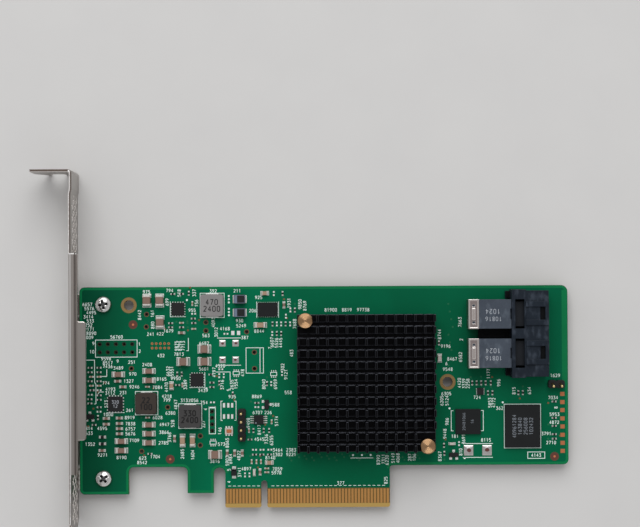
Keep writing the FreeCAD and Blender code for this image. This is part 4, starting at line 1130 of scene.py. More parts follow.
# %% Smallest chips on the back
LANES = 8
LANE_V = 9.4
ROWS = (((132.8, 16.4), 1.46, 10), ((136.5, 30.3), 1.43, 4),
        ((118.9, 31.4), 1.42, 7), ((127.2, 27.3), 1.43, 5))
GRID_U = (81.5, 2.4, 8)
GRID_V = (29.5, 3.3, 7)
BACK_SMALL_U = [(107.1, 53.4), (104.9, 42.6), (110.3, 37.9), (53.0, 16.1), (58.1, 10.6), (105.0, 31.6)]
BACK_SMALL_U += [(117.5, v) for v in (66.7, 63.9, 58.1, 56.1, 53.7, 51.9, 46.3, 43.7)]
BACK_SMALL_V = [
    (67.0, 57.4), (59.5, 57.4), (70.3, 52.0), (65.9, 52.2), (56.2, 52.0), (52.8, 52.0), (64.4, 45.9),
    (56.9, 45.9), (52.3, 39.5), (58.4, 35.0), (95.1, 54.3), (88.6, 23.4), (90.8, 23.5), (80.4, 23.4),
]
BACK_SMALL_V += [(62.65 + 4.0 * lane + offset, LANE_V) for lane in range(LANES) for offset in (0, 1.05)]
for (start_u, start_v), pitch, count in ROWS:
    BACK_SMALL_V += [(start_u + pitch * k, start_v) for k in range(count)]
GRID = [(GRID_U[0] + GRID_U[1] * (column + 0.5 * (row % 2)), GRID_V[0] + GRID_V[1] * row)
        for row in range(GRID_V[2]) for column in range(GRID_U[2])]

back_chips = Shape(SOLDER, CAP_TIN, RESISTOR_BLACK, CERAMIC_TAN)
for u, v in BACK_SMALL_U:
    chip(back_chips, Seat(u, v, True, BACK), SMALL_CHIP, RESISTOR_BLACK)
for u, v in BACK_SMALL_V:
    chip(back_chips, Seat(u, v, False, BACK), SMALL_CHIP, CERAMIC_TAN if v == LANE_V else RESISTOR_BLACK)
for u, v in GRID:
    chip(back_chips, Seat(u, v, True, BACK), SMALL_CHIP, CERAMIC_TAN)
back_chips.piece("smallest_chips_back", "bead_dark")

# %% [markdown]
# Power inductors are iron powder pressed round a coil, with the coil's ends bent up the sides as
# terminals. The body is a loft through three outlines with cut corners, the last one drawn in, which
# gives the rounded rim that the press leaves.

# %% Inductors
CORNER = 0.5
ROUNDING = 0.16
TERMINAL = 0.16
TERMINAL_GRIP = 0.3
TERMINAL_HIGH = 1.05


def inductor(node, powder, slot):
    low, high = solids_of(node)[0]
    shape = Shape(powder, TIN, SOLDER)
    left, right, near, far, top = low[0], high[0], low[1] + TERMINAL, high[1] - TERMINAL, high[2]
    outline = [(left + CORNER, near), (right - CORNER, near), (right, near + CORNER), (right, far - CORNER),
               (right - CORNER, far), (left + CORNER, far), (left, far - CORNER), (left, near + CORNER)]
    middle_u, middle_v = (left + right) / 2, (near + far) / 2
    shrink_u, shrink_v = 1 - 2 * ROUNDING / (right - left), 1 - 2 * ROUNDING / (far - near)
    rim = [(middle_u + (u - middle_u) * shrink_u, middle_v + (v - middle_v) * shrink_v) for u, v in outline]
    shape.loft([[(u, v, z) for u, v in line] for line, z in
                ((outline, FACE + 0.05), (outline, top - ROUNDING), (rim, top))], powder)
    half = 0.24 * (right - left)
    wide = 1.15 * half
    for v0, v1 in ((low[1], near + TERMINAL_GRIP), (far - TERMINAL_GRIP, high[1])):
        shape.block((middle_u - half, v0, FACE), (middle_u + half, v1, FACE + TERMINAL_HIGH), 0.08, TIN)
        shape.block((middle_u - wide, v0 - 0.1, FACE), (middle_u + wide, v1 + 0.1, FACE + 0.1), 0.03, SOLDER)
    return shape.piece(node + "_pressed", slot, node)


inductor("inductor_upper", PALE_POWDER, "ferrite_grey")
inductor("inductor_left", BROWN_POWDER, "ferrite_brown")
inductor("inductor_right", GREY_POWDER, "ferrite_grey")

# %% [markdown]
# Polymer capacitors are black mouldings with a pale stripe across the positive end and a thin printed
# frame round the rest of the top. Their tinned terminals fold under the two ends. All of it is blocks
# with nipped edges, and the print stands a hundredth of a millimetre proud.

# %% Polymer capacitors
STRIPE_U = (0.22, 1.15)
STRIPE_EDGE = 0.12
FRAME_EDGE = 0.2

polymers = Shape(DARK_MOULD, STRIPE_BLUE, TIN, SOLDER)
for low, high in solids_of("polymer_capacitors"):
    left, right, near, far, top = low[0], high[0], low[1], high[1], high[2]
    polymers.block((left + 0.14, near, FACE + 0.1), (right - 0.14, far, top), 0.16, DARK_MOULD)
    polymers.block((left + STRIPE_U[0], near + STRIPE_EDGE, top - 0.05),
                   (left + STRIPE_U[1], far - STRIPE_EDGE, top + 0.01), 0.006, STRIPE_BLUE)
    start, end = left + STRIPE_U[1] - 0.05, right - 0.25
    frame_path = [(start, far - FRAME_EDGE), (end, far - FRAME_EDGE),
                  (end, near + FRAME_EDGE), (start, near + FRAME_EDGE)]
    polymers.strip(frame_path, 0.14, top - 0.01, top + 0.008, STRIPE_BLUE)
    for u0, u1 in ((left, left + 0.4), (right - 0.4, right)):
        polymers.block((u0, near + 0.3, FACE + 0.03), (u1, far - 0.3, FACE + 1.1), 0.06, TIN)
        polymers.block((u0 - 0.25, near + 0.2, FACE + LIFT), (u1 + 0.25, far - 0.2, FACE + 0.06),
                       0.02, SOLDER)
polymers.piece("polymer_capacitors_moulded", "chip_mould", "polymer_capacitors")

# %% [markdown]
# Leadless chips have no legs. Their contacts are flat pads under the rim, and all that shows is a row of
# small solder-wet ends along each side, so those are counted out along the sides of the chip's box.

# %% Pads round the leadless chips
WET_HIGH = 0.12
WET_UNDER = 0.02


def side_pads(shape, node, per_side, width, reach, sides):
    """Small wetted pads along a leadless chip's sides that run along u, along v or both."""
    for low, high in solids_of(node):
        for axis, letter in ((0, "v"), (1, "u")):
            if letter not in sides:
                continue
            along = 1 - axis
            run = high[along] - low[along]
            for k in range(per_side):
                middle = low[along] + run * (k + 0.5) / per_side
                for inner, way in ((low[axis], -1), (high[axis], 1)):
                    first = [0, 0, FACE + LIFT]
                    second = [0, 0, FACE + WET_HIGH]
                    first[axis], second[axis] = sorted((inner - way * WET_UNDER, inner + way * reach))
                    first[along], second[along] = middle - width / 2, middle + width / 2
                    shape.block(first, second, 0.025, SOLDER)


leadless_pads = Shape(SOLDER)
side_pads(leadless_pads, "power_controllers", 5, 0.3, 0.3, "uv")
side_pads(leadless_pads, "power_stage", 5, 0.4, 0.35, "uv")
side_pads(leadless_pads, "regulator", 9, 0.24, 0.16, "uv")
side_pads(leadless_pads, "logic_chip", 5, 0.2, 0.3, "v")
leadless_pads.piece("leadless_chip_pads", "tin")

# %% [markdown]
# A moulded chip with legs has a tapered epoxy body, because it has to come out of its mould, and flat
# tinned legs that bend down and out like a gull's wing. Each leg is three straight bars along a bent
# line, and it ends on a flat of solder.

# %% Legs
LEG_THICK = 0.14
KNEE_SHARE = 0.32
DROP_SHARE = 0.12
FOOT = 0.05
BAR_FACES = [[0, 2, 3, 1], [4, 5, 7, 6], [0, 1, 5, 4], [2, 6, 7, 3], [0, 4, 6, 2], [1, 3, 7, 5]]


def leg(shape, seat, reach_in, reach_out, middle, width, exit_height):
    """A gull-wing leg that leaves the body at exit_height and ends flat on its pad."""
    run = reach_out - reach_in
    knee = reach_in + KNEE_SHARE * run
    line = [(reach_in - 0.05, exit_height), (knee, exit_height),
            (knee + DROP_SHARE * run, FOOT), (reach_out, FOOT)]
    for (a0, h0), (a1, h1) in zip(line, line[1:]):
        corners = [seat.point(a, middle + w, h + t) for a, h in ((a0, h0), (a1, h1))
                   for w in (-width / 2, width / 2) for t in (0, LEG_THICK)]
        shape.convex(corners, BAR_FACES, TIN)
    past = 0.2 if reach_out > 0 else -0.2
    seat.fill(shape, (min(reach_out, knee * 1.04), middle - 0.6 * width, LIFT),
              (reach_out + past, middle + 0.6 * width, FOOT), THIN_NIP, SOLDER)


print("legs are", LEG_THICK, "mm thick")

# %% Chips with legs
LEGGED = (("sense_amplifier", (3.0, 3.0, 1.0), 4, 0.65, 0.42),
          ("serial_memory", (3.9, 4.9, 1.55), 4, 1.27, 0.33),
          ("interface_chip", (4.4, 6.5, 1.05), 10, 0.65, 0.42), ("gate_chip", (1.6, 2.9, 1.1), 3, 0.95, 0.42))
BELLY = 0.1
TOP_ROUND = 0.06


def leaded_body(shape, seat, length, width, height):
    """A tapered moulding with a printed dot at its first leg."""
    draft = 0.06 * height
    rings = []
    for z, cut in ((BELLY, draft), (0.55 * height, 0), (height, draft + TOP_ROUND)):
        rings.append([seat.point(a * (length / 2 - cut), b * (width / 2 - cut), z)
                      for a, b in ((-1, -1), (1, -1), (1, 1), (-1, 1))])
    shape.loft(rings, DARK_MOULD)
    dot = seat.point(-0.3 * length, -0.33 * width, 0)[:2]
    shape.disc(*dot, 0.09 * length, level(seat.side, height - 0.01), level(seat.side, height + 0.004),
               INK_GREY, 14)


for node, (length, width, height), legs, pitch, share in LEGGED:
    low, high = solids_of(node)[0]
    seat = Seat(*middle_of(low, high), True, side_of(low))
    span = (high[0] - low[0]) / 2
    legged = Shape(DARK_MOULD, TIN, SOLDER, INK_GREY)
    leaded_body(legged, seat, length, width, height - 0.01)
    for k in range(legs):
        middle = (k - (legs - 1) / 2) * pitch
        for way in (1, -1):
            leg(legged, seat, way * length / 2, way * span, middle, share * pitch, 0.45 * height)
    legged.piece(node + "_legged", "chip_mould", node)

# %% [markdown]
# The last small parts are made one by one. A transistor has one leg on one side and two on the other, each
# in a lump of solder. The diode has a pale line at one end and flat terminals. The oscillator is a white
# ceramic tray with a coppery lid and three pads on each long side.

# %% Transistors, diode and oscillator
small_actives = Shape(DARK_MOULD, TIN, SOLDER, COPPER, CERAMIC_WHITE, INK_GREY)
for low, high in solids_of("transistors"):
    seat = Seat(*middle_of(low, high), high[1] - low[1] > high[0] - low[0])
    seat.fill(small_actives, (-0.65, -1.45, 0.08), (0.65, 1.45, 1.0), 0.12, DARK_MOULD)
    for way, across in ((1, 0), (-1, 0.95), (-1, -0.95)):
        leg(small_actives, seat, way * 0.65, way * 1.08, across, 0.42, 0.45)
        seat.fill(small_actives, (way * 0.85, across - 0.42, LIFT), (way * 1.55, across + 0.42, 0.1),
                  0.04, SOLDER)
seat = Seat(*middle_of(*solids_of("diode")[0]))
seat.fill(small_actives, (-0.85, -1.0, 0.1), (0.85, 1.0, 1.05), 0.12, DARK_MOULD)
seat.fill(small_actives, (-0.8, 0.55, 1.03), (0.8, 0.8, 1.05), 0.005, INK_GREY)
for way in (1, -1):
    seat.fill(small_actives, (-0.45, way * 0.95, 0.03), (0.45, way * 1.6, 0.35), 0.06, TIN)
    seat.fill(small_actives, (-0.6, way * 0.95, LIFT), (0.6, way * 1.85, 0.04), THIN_NIP, SOLDER)
seat = Seat(*middle_of(*solids_of("oscillator")[0]))
seat.fill(small_actives, (-1.25, -1.0, 0.03), (1.25, 1.0, 0.6), 0.08, CERAMIC_WHITE)
seat.fill(small_actives, (-0.8, -0.55, 0.58), (0.8, 0.55, 0.75), 0.1, COPPER)
for a, b in product((-0.85, 0, 0.85), (-1, 1)):
    seat.fill(small_actives, (a - 0.25, b * 0.9, LIFT), (a + 0.25, b * 1.5, 0.06), 0.02, SOLDER)
small_actives.piece("small_actives", "chip_mould", "transistors", "diode", "oscillator")

# %% [markdown]
# Bracket screws are pan heads with a cross recess. The dome is turned from a profile, and the recess is
# cut by a solid cross with tapered arms, the way a punch makes it. The recess's faces take the cutter's
# dark finish, which is painted shade. The cutter is thrown away after.

# %% Cross recess
CROSS_REACH = 1.95
CROSS_HALF = 0.44
CROSS_FOOT = 0.7
CROSS_DEEP = 1.3
CROSS_OVER = 0.4


def cross(u, v, reach, half, turn):
    """The outline of a cross with arms of the given reach and half width."""
    corners = []
    for quarter in range(4):
        angle = math.radians(turn) + quarter * math.pi / 2
        ahead, aside = math.cos(angle), math.sin(angle)
        for along, across in ((reach, -half), (reach, half), (half, half)):
            corners.append((u + along * ahead - across * aside, v + along * aside + across * ahead))
    return corners


def cross_cutter(centres, top, turns):
    """One cross for each screw, wider at its mouth than at its foot."""
    shape = Shape(STEEL, RECESS_SHADE)
    for (u, v), turn in zip(centres, turns):
        shape.loft([[(*corner, top - CROSS_DEEP)
                     for corner in cross(u, v, CROSS_FOOT, 0.7 * CROSS_HALF, turn)],
                    [(*corner, top + CROSS_OVER) for corner in cross(u, v, CROSS_REACH, CROSS_HALF, turn)]],
                   RECESS_SHADE)
    return placed("cross_cutter", shape.mesh("cross_cutter"))


def carved(piece, cutter):
    """Cuts one mesh out of another and keeps the result as the piece's own mesh."""
    cut = piece.modifiers.new("recess", "BOOLEAN")
    cut.operation = "DIFFERENCE"
    cut.object = cutter
    cut.solver = "EXACT"
    shapes = bpy.context.evaluated_depsgraph_get()
    mesh = bpy.data.meshes.new_from_object(piece.evaluated_get(shapes))
    piece.modifiers.clear()
    piece.data = mesh
    bpy.data.objects.remove(cutter)
    return piece


print("recess", 2 * CROSS_REACH, "mm across")

# %% Bracket screws
SCREW_DOME = [(2.3, 0.0), (2.52, 0.12), (2.6, 0.4), (2.56, 0.75), (2.35, 1.15), (1.9, 1.5),
              (1.2, 1.78), (0.6, 1.88), (0.0, 1.9)]
SHANK_RADIUS = 1.4
SHANK_POINT = 0.3
SCREW_TURNS = (38, 12)

screws = Shape(STEEL, RECESS_SHADE)
screw_centres = []
for low, high in solids_of("bracket_screws"):
    u, v = middle_of(low, high)
    screw_centres.append((u, v))
    shank = [(0.0, low[2]), (SHANK_RADIUS - SHANK_POINT, low[2]), (SHANK_RADIUS, low[2] + SHANK_POINT),
             (SHANK_RADIUS, FACE)]
    screws.turned(u, v, shank + [(radius, FACE + z) for radius, z in SCREW_DOME], STEEL, 48)
screw_heads = screws.piece("bracket_screws_turned", "screw_steel", "bracket_screws")
carved(screw_heads, cross_cutter(screw_centres, FACE + SCREW_DOME[-1][1], SCREW_TURNS))
print("recesses cut,", len(screw_heads.data.polygons), "faces")

# %% [markdown]
# The push pins are turned brass. A lathe tool leaves fine rings on the face, and rings scatter light
# into the two fans that a turned face always shows, so the rings are real shallow grooves here. Under
# each head a steel spring presses the heat sink down; it is a helix, drawn as a wire.

# %% Push pins and springs
GROOVE = 0.16
GROOVE_DEEP = 0.03
GROOVES_FROM = 2.1
SPRING_TURNS = 3.5
SPRING_WIRE = 0.2
TURN_STEPS = 24


def pin_profile(low, head_z, top):
    """Half the section of a push pin, from its tip up to the middle of its grooved head."""
    profile = [(0.0, low), (1.1, low), (1.3, low + 0.3), (2.0, low + 1.35), (1.95, low + 2.15),
               (1.3, low + 2.2),
               (1.3, head_z), (2.25, head_z), (2.4, head_z + 0.15), (2.4, top - 0.3), (2.22, top - 0.05)]
    radius = GROOVES_FROM
    while radius > 2 * GROOVE:
        profile += [(radius, top - 0.005), (radius - 0.5 * GROOVE, top - GROOVE_DEEP)]
        radius -= GROOVE
    return profile + [(0.12, top - GROOVE_DEEP), (0.0, top - GROOVE_DEEP)]


pins = Shape(BRASS)
springs = Shape(SPRING_STEEL)
for (low, high), (spring_low, spring_high) in zip(solids_of("push_pins"), solids_of("pin_springs")):
    u, v = middle_of(low, high)
    pins.turned(u, v, pin_profile(low[2], spring_high[2] + 0.02, high[2]), BRASS, 64, False)
    coil = (spring_high[0] - spring_low[0]) / 2 - SPRING_WIRE
    start, end = spring_low[2] + SPRING_WIRE, spring_high[2] - SPRING_WIRE
    steps = int(SPRING_TURNS * TURN_STEPS)
    helix = []
    for k in range(steps + 1):
        angle = 2 * math.pi * k / TURN_STEPS
        helix.append((u + coil * math.cos(angle), v + coil * math.sin(angle),
                      start + (end - start) * k / steps))
    springs.wire(helix, SPRING_WIRE, SPRING_STEEL)
pins.piece("push_pins_turned", "turned_brass", "push_pins")
springs.piece("pin_springs_wound", "spring_steel", "pin_springs")

# %% [markdown]
# Bare metal shows wherever the mask is left open: tinned pads that carry no part, rings round plated
# holes, the copper squares of test points and the dots that a placement camera looks for. They are
# thin plates and rings on the board's face, a few hundredths of a millimetre high. A large empty pad
# keeps a pillow of solder, with a blotch of flux on top. Next to each pin hole the ring is painted dark,
# as the shade of the hole.

# %% Pads and rings
PAD_HIGH = 0.03
RING_HIGH = 0.02
DOME_STEPS = ((1.0, 0.0), (1.0, 0.2), (0.8, 0.7), (0.45, 1.0))
FLUX_REACH = (0.7, 0.62, 0.5, 0.42, 0.5, 0.66, 0.78, 0.8)
FLUX_SHARE = 0.3
FLUX_LONGER = 0.06
FLUX_TURN = 0.19


def pad(shape, u, v, length, width, finish, side=FRONT, high=PAD_HIGH):
    """A flat pad centred on a place."""
    low, top = sorted((level(side, 0), level(side, high)))
    a, b = length / 2, width / 2
    shape.block((u - a, v - b, low), (u + a, v + b, top), 0.3 * high, finish)


def eye(shape, u, v, hole, outer, finish, side=FRONT, sides=24):
    """A flat ring round a hole."""
    shape.ring(u, v, hole, outer, level(side, 0), level(side, RING_HIGH), finish, sides)


def dome(shape, u, v, length, width, high, turn):
    """A tinned pad, with the pillow of solder that is left on it."""
    rings = []
    for share, rise in DOME_STEPS:
        a, b, z = share * length / 2, share * width / 2, FACE + rise * high
        rings.append([(u - a, v - b, z), (u + a, v - b, z), (u + a, v + b, z), (u - a, v + b, z)])
    shape.loft(rings, BLOTCHED_TIN)
    blotch = []
    for k, reach in enumerate(FLUX_REACH):
        angle = 2 * math.pi * (k / len(FLUX_REACH) + FLUX_TURN * turn)
        blotch.append((u + (FLUX_LONGER + FLUX_SHARE * reach) * length * math.cos(angle),
                       v + FLUX_SHARE * reach * width * math.sin(angle)))
    shape.plate(blotch, FACE + 0.9 * high, FACE + high + 0.01, FLUX)


print("pads are", PAD_HIGH, "mm high")

# %% [markdown]
# Where each bare place is, in groups of one kind. Rows with an even pitch are counted out, and the others
# are listed by the middle of the place. Several of these lists serve the back as well, because a
# plated hole goes right through the board.

# %% Empty places and holes
EMPTY_U = [
    (35.7, 60.5), (45.75, 54.2), (44.1, 43.15), (6.1, 36.8), (3.3, 35.4), (6.05, 30.1), (54.5, 18.0),
    (56.85, 18.0), (59.3, 18.0), (55.3, 31.3), (41.45, 32.85),
]
EMPTY_V = [
    (60.75, 66.7), (65.9, 61.55), (64.5, 59.6), (61.65, 57.2), (63.0, 57.2), (65.8, 57.2), (60.2, 54.2),
    (43.6, 41.15), (45.0, 41.15), (63.2, 41.75), (59.8, 38.6), (51.5, 10.2), (52.9, 10.2), (118.3, 19.6),
]
SQUARE_PADS = [(44.65, 51.25), (48.75, 51.25), (44.65, 46.05), (48.75, 46.05)]
SIX_PADS = [(u, v) for u in (45.05, 46.4, 47.6) for v in (31.9, 28.4)]
PAIR_PADS = [(47.9, 54.45), (49.7, 54.45)]
BIG_PADS = [(121.25, 17.5), (127.0, 17.5)]
EMPTY_TRIOS = [(48.9, 41.9), (60.6, 41.6), (41.6, 20.3)]
EDGE_PADS = [(150.6, v) for v in (34.95, 32.4, 29.9, 27.3, 24.8, 22.2, 19.7, 17.2)]
TEN_HOLES = [(6.3 + 2.54 * k, v) for k in range(5) for v in (48.6, 51.14)]
FOUR_HOLES = [(41.3, 24.0 + 2.0 * k) for k in range(4)]
TWO_HOLES = [(54.6, 43.3), (54.6, 48.4)]
TEST_HOLES = [(21.0, 60.4), (20.9, 56.5), (39.5, 57.8), (39.5, 55.2), (52.2, 54.8),
              (16.2, 43.5), (27.5, 31.4), (19.3, 17.7), (37.6, 22.4), (37.6, 19.5)]
MOUNT_HOLES = [(15.45, 63.25), (114.85, 38.85)]
SIGHTS = [(16.75, 57.2), (28.2, 15.2), (148.05, 15.5)]
VIA_ROWS = [(22.7 + 1.29 * k, v) for k in range(5) for v in (51.25, 49.86)]
print(len(EMPTY_U) + len(EMPTY_V), "empty pairs of pads,", len(TEST_HOLES), "test holes")

# %% Bare pads on the front
EMPTY_HALF = 0.48
EMPTY_SIZE = (0.52, 0.52)
EDGE_PAD_SIZE = (1.35, 1.25)
PIN_HOLE = 0.47
MOUNT_RING = (1.56, 2.45)
SIGHT_RADIUS = 1.35
SIGHT_DOT_RADIUS = 0.36

bare = Shape(SOLDER, COPPER, DARK_COPPER, BLOTCHED_TIN, FLUX, HOLE_SHADE, RING_LAMINATE,
             SIGHT_RED, SIGHT_DOT)
for places, along_u in ((EMPTY_U, True), (EMPTY_V, False)):
    for u, v in places:
        for away in (EMPTY_HALF, -EMPTY_HALF):
            du, dv = (away, 0) if along_u else (0, away)
            pad(bare, u + du, v + dv, *EMPTY_SIZE, SOLDER)
for turn, (u, v) in enumerate(SQUARE_PADS):
    dome(bare, u, v, 1.95, 1.95, 0.2, turn)
for u, v in SIX_PADS:
    pad(bare, u, v, 0.7, 1.4, SOLDER, high=0.08)
for turn, (u, v) in enumerate(BIG_PADS):
    dome(bare, u, v, 2.9, 3.2, 0.28, turn + 1)
for u, v in PAIR_PADS:
    pad(bare, u, v, 1.0, 1.3, SOLDER)
for u, v in EMPTY_TRIOS:
    for du, dv in product((-0.65, 0, 0.65), (0.95, -0.95)):
        pad(bare, u + du, v + dv, 0.28, 0.45, SOLDER)
for u, v in EDGE_PADS:
    pad(bare, u, v, *EDGE_PAD_SIZE, COPPER)
# Next to each pin hole, a ring painted dark as the shade of the hole.
for u, v in TEN_HOLES + FOUR_HOLES:
    eye(bare, u, v, PIN_HOLE, 0.66, HOLE_SHADE)
for u, v in TEST_HOLES + TWO_HOLES:
    eye(bare, u, v, PIN_HOLE, 0.57, HOLE_SHADE)
    eye(bare, u, v, 0.57, 0.78, DARK_COPPER)
for u, v in VIA_ROWS:
    eye(bare, u, v, 0.16, 0.4, COPPER, sides=16)
for u, v in MOUNT_HOLES:
    eye(bare, u, v, *MOUNT_RING, RING_LAMINATE, sides=40)
for u, v in SIGHTS:
    bare.disc(u, v, SIGHT_RADIUS, FACE, FACE + RING_HIGH, SIGHT_RED, 32)
    bare.disc(u, v, SIGHT_DOT_RADIUS, FACE, FACE + 2 * RING_HIGH, SIGHT_DOT, 20)
bare.piece("bare_pads_front", "tin")

# %% [markdown]
# The board maker keeps copper away from the cut edge, and there the mask lies on bare laminate and looks
# lighter. A thin band that follows the board's own outline shows this. The outline is read from the
# frame: an edge of the board's upper side that only one face uses is part of a rim, and the longest
# rim is the outer one. On the tongue there is no mask, so the band is broken off there.

# %% Rim of the board
MARGIN_INSET = 0.5
TONGUE_MORE = 1.0
MASK_MORE = 0.3
SHORTEST_RUN = 30


def len_around(loop):
    return sum(math.dist(a, b) for a, b in zip(loop, loop[1:] + loop[:1]))


def outline_of_board():
    """The outer loop of the board's face, in order, from the frame's own mesh."""
    mesh = nodes["board"].data
    top = (FACE - 0.01) * MM
    rim = {}
    for polygon in mesh.polygons:
        ring = [mesh.vertices[k].co for k in polygon.vertices]
        if min(point.z for point in ring) < top:
            continue
        keys = [(round((p.x - board_low.x) / MM, 3), round((p.y - board_low.y) / MM, 3)) for p in ring]
        for pair in zip(keys, keys[1:] + keys[:1]):
            if pair[::-1] in rim:
                rim.pop(pair[::-1])
            else:
                rim[pair] = True
    after = dict(rim.keys())
    loops = []
    while after:
        start = next(iter(after))
        loop = [start]
        step = after.pop(start)
        while step != start:
            loop.append(step)
            step = after.pop(step)
        loops.append(loop)
    return max(loops, key=len_around)


def off_tongue(u, v):
    return v > MASK_EDGE_V + MASK_MORE or not TONGUE_U[0] - TONGUE_MORE < u < TONGUE_U[1] + TONGUE_MORE


board_edge = outline_of_board()
if not counter_clockwise(board_edge):
    board_edge.reverse()
inset = sideways([Vector(place) for place in board_edge], MARGIN_INSET, True)
margin_runs = [[]]
for place in inset + inset[:1]:
    if off_tongue(*place):
        margin_runs[-1].append(place)
    elif margin_runs[-1]:
        margin_runs.append([])
if len(margin_runs) > 1 and margin_runs[-1] and margin_runs[0]:
    margin_runs[0] = margin_runs.pop()[:-1] + margin_runs[0]
margin_runs = [run for run in margin_runs if len(run) > SHORTEST_RUN]
print("rim", round(len_around(board_edge), 1), "mm round,", len(margin_runs), "runs of margin")

# %% [markdown]
# Round each chip the copper dives to the inner layers through a via, a plated hole of a third of a
# millimetre that the mask covers. A via reads as a small ring a little lighter than the mask, with a
# short track to the pad it serves. Their places follow the chips, so nothing has to be listed twice.

# %% Tracks and vias
TRACK = 0.22
FILM = 0.006
MARGIN_WIDE = 0.7
VIA_RING = (0.1, 0.3)
VIA_AWAY = 1.35
TRACK_BEND = 0.5
PADS_LONG = 1.2
PALE_END = ([(151.3, 38.5), (151.3, 67.4)], 1.5)


def tented(shape, u, v, side=FRONT, tone=VIA_GREEN):
    """A via under the mask."""
    shape.ring(u, v, *VIA_RING, level(side, 0), level(side, 2 * FILM), tone, 14)


def served(shape, seat, turn):
    """A via off one end of a chip, with its track."""
    way = 1 if turn % 2 else -1
    drift = 0.45 * (turn % 3 - 1)
    half = PADS_LONG / 2
    start, bend = seat.point(way * half, 0, 0), seat.point(way * (half + TRACK_BEND), 0, 0)
    end = seat.point(way * (half + VIA_AWAY - 0.3 * abs(drift)), drift, 0)
    path = [place[:2] for place in (start, bend, end)]
    shape.strip(path, TRACK, level(seat.side, 0), level(seat.side, FILM), TRACK_GREEN)
    tented(shape, end[0], end[1], seat.side, VIA_COPPER if turn % 3 == 0 else VIA_GREEN)


copper_film = Shape(TRACK_GREEN, VIA_GREEN, VIA_COPPER, MARGIN_GREEN)
for run in margin_runs:
    copper_film.strip(run, MARGIN_WIDE, FACE, FACE + FILM, MARGIN_GREEN)
    copper_film.strip(run, MARGIN_WIDE, UNDER - FILM, UNDER, MARGIN_GREEN)
copper_film.strip(*PALE_END, FACE, FACE + 0.5 * FILM, MARGIN_GREEN)
served_places = ((SMALL_U + SMALL_TAN_U, True, FRONT), (SMALL_V + SMALL_TAN_V, False, FRONT),
                 (BACK_SMALL_U, True, BACK), (BACK_SMALL_V, False, BACK))
seats = [Seat(u, v, along_u, side) for places, along_u, side in served_places for u, v in places]
for turn, seat in enumerate(seats):
    served(copper_film, seat, turn)
for k, j in product(range(18), range(2)):
    tented(copper_film, 66.0 + 2.35 * k - 0.6 * j, 14.6 + 0.9 * j + 0.5 * ((k * 5) % 3))
for k in range(9):
    tented(copper_film, 115.2 + 0.45 * ((k * 7) % 4), 44.0 + 2.4 * k)
copper_film.piece("tracks_and_vias", "solder_mask")

# %% [markdown]
# The legend is screen printed in pale ink: outlines that show where a part goes, dots for first pins
# and a number beside each part. The numbers here are plain counts. Each figure is a few strokes of
# even width, like a plotter pen's, on a grid two wide and four high.

# %% Figures
STROKES = {
    "0": [[(0, 0.6), (0, 3.4), (0.6, 4), (1.4, 4), (2, 3.4), (2, 0.6), (1.4, 0), (0.6, 0), (0, 0.6)]],
    "1": [[(0.3, 3.2), (1.1, 4), (1.1, 0)]],
    "2": [[(0, 3.4), (0.6, 4), (1.4, 4), (2, 3.4), (2, 2.6), (0.1, 0.1), (2, 0.1)]],
    "3": [[(0, 4), (1.9, 4), (0.9, 2.4), (1.5, 2.3), (2, 1.7), (2, 0.6), (1.4, 0), (0.5, 0), (0, 0.4)]],
    "4": [[(1.5, 0), (1.5, 3.9), (0.1, 1.3)], [(0.1, 1.2), (2.2, 1.2)]],
    "5": [[(1.9, 4), (0.2, 4), (0.1, 2.3), (1.4, 2.4), (2, 1.8), (2, 0.6), (1.4, 0), (0.5, 0), (0, 0.4)]],
    "6": [[(1.7, 4), (0.6, 3.2), (0, 1.8), (0, 0.6), (0.6, 0), (1.4, 0), (2, 0.6), (2, 1.5), (1.4, 2.1),
           (0.55, 2.0)]],
    "7": [[(0, 4), (2, 4), (0.7, 0)]],
    "8": [[(1, 2.1), (0.1, 2.9), (0.1, 3.5), (0.6, 4), (1.4, 4), (1.9, 3.5), (1.9, 2.9), (1, 2.1)],
          [(1, 2.1), (0, 1.3), (0, 0.6), (0.6, 0), (1.4, 0), (2, 0.6), (2, 1.3), (1, 2.1)]],
    "9": [[(0.3, 0), (1.4, 0.8), (2, 2.2), (2, 3.4), (1.4, 4), (0.6, 4), (0, 3.4), (0, 2.5), (0.6, 1.9),
           (1.45, 2.0)]],
}
GRID_WIDE = 2
GRID_HIGH = 4
ADVANCE = 3.5
STROKE_SHARE = 0.16
STROKE_OVER = 0.004
INK_THICK = 0.02
FIGURE = 0.92
COUNT_STEP = 7919


def figures(shape, text, u, v, ink, high=FIGURE, turn=0, side=FRONT, base=0.0, weight=STROKE_SHARE):
    """Stroked figures centred on a place, reading along the card or turned by so many degrees."""
    scale = high / GRID_HIGH
    ahead = (round(math.cos(math.radians(turn))), round(math.sin(math.radians(turn))))
    start = (ADVANCE - GRID_WIDE - ADVANCE * len(text)) / 2
    for k, sign in enumerate(text):
        for over, line in enumerate(STROKES[sign]):
            path = []
            for x, y in line:
                along, above = (start + k * ADVANCE + x) * scale, (y - GRID_HIGH / 2) * scale
                du, dv = along * ahead[0] - above * ahead[1], along * ahead[1] + above * ahead[0]
                path.append((u + side * du, v + dv))
            top = base + INK_THICK + STROKE_OVER * over
            shape.strip(path, weight * high, level(side, base), level(side, top), ink)


def counted(turn, digits):
    """A plain number with so many digits, different for each turn."""
    first = 10 ** (digits - 1)
    return str(first + (turn * COUNT_STEP) % (9 * first))


print("figures", FIGURE, "mm high, such as", counted(1, 4))

# %% [markdown]
# Each number has a place, chosen beside the part that it counts, and a length. Those that read along the
# card and those that read up it are listed apart. The numbers themselves come from a count, and the
# column near the bracket is laid out row by row.

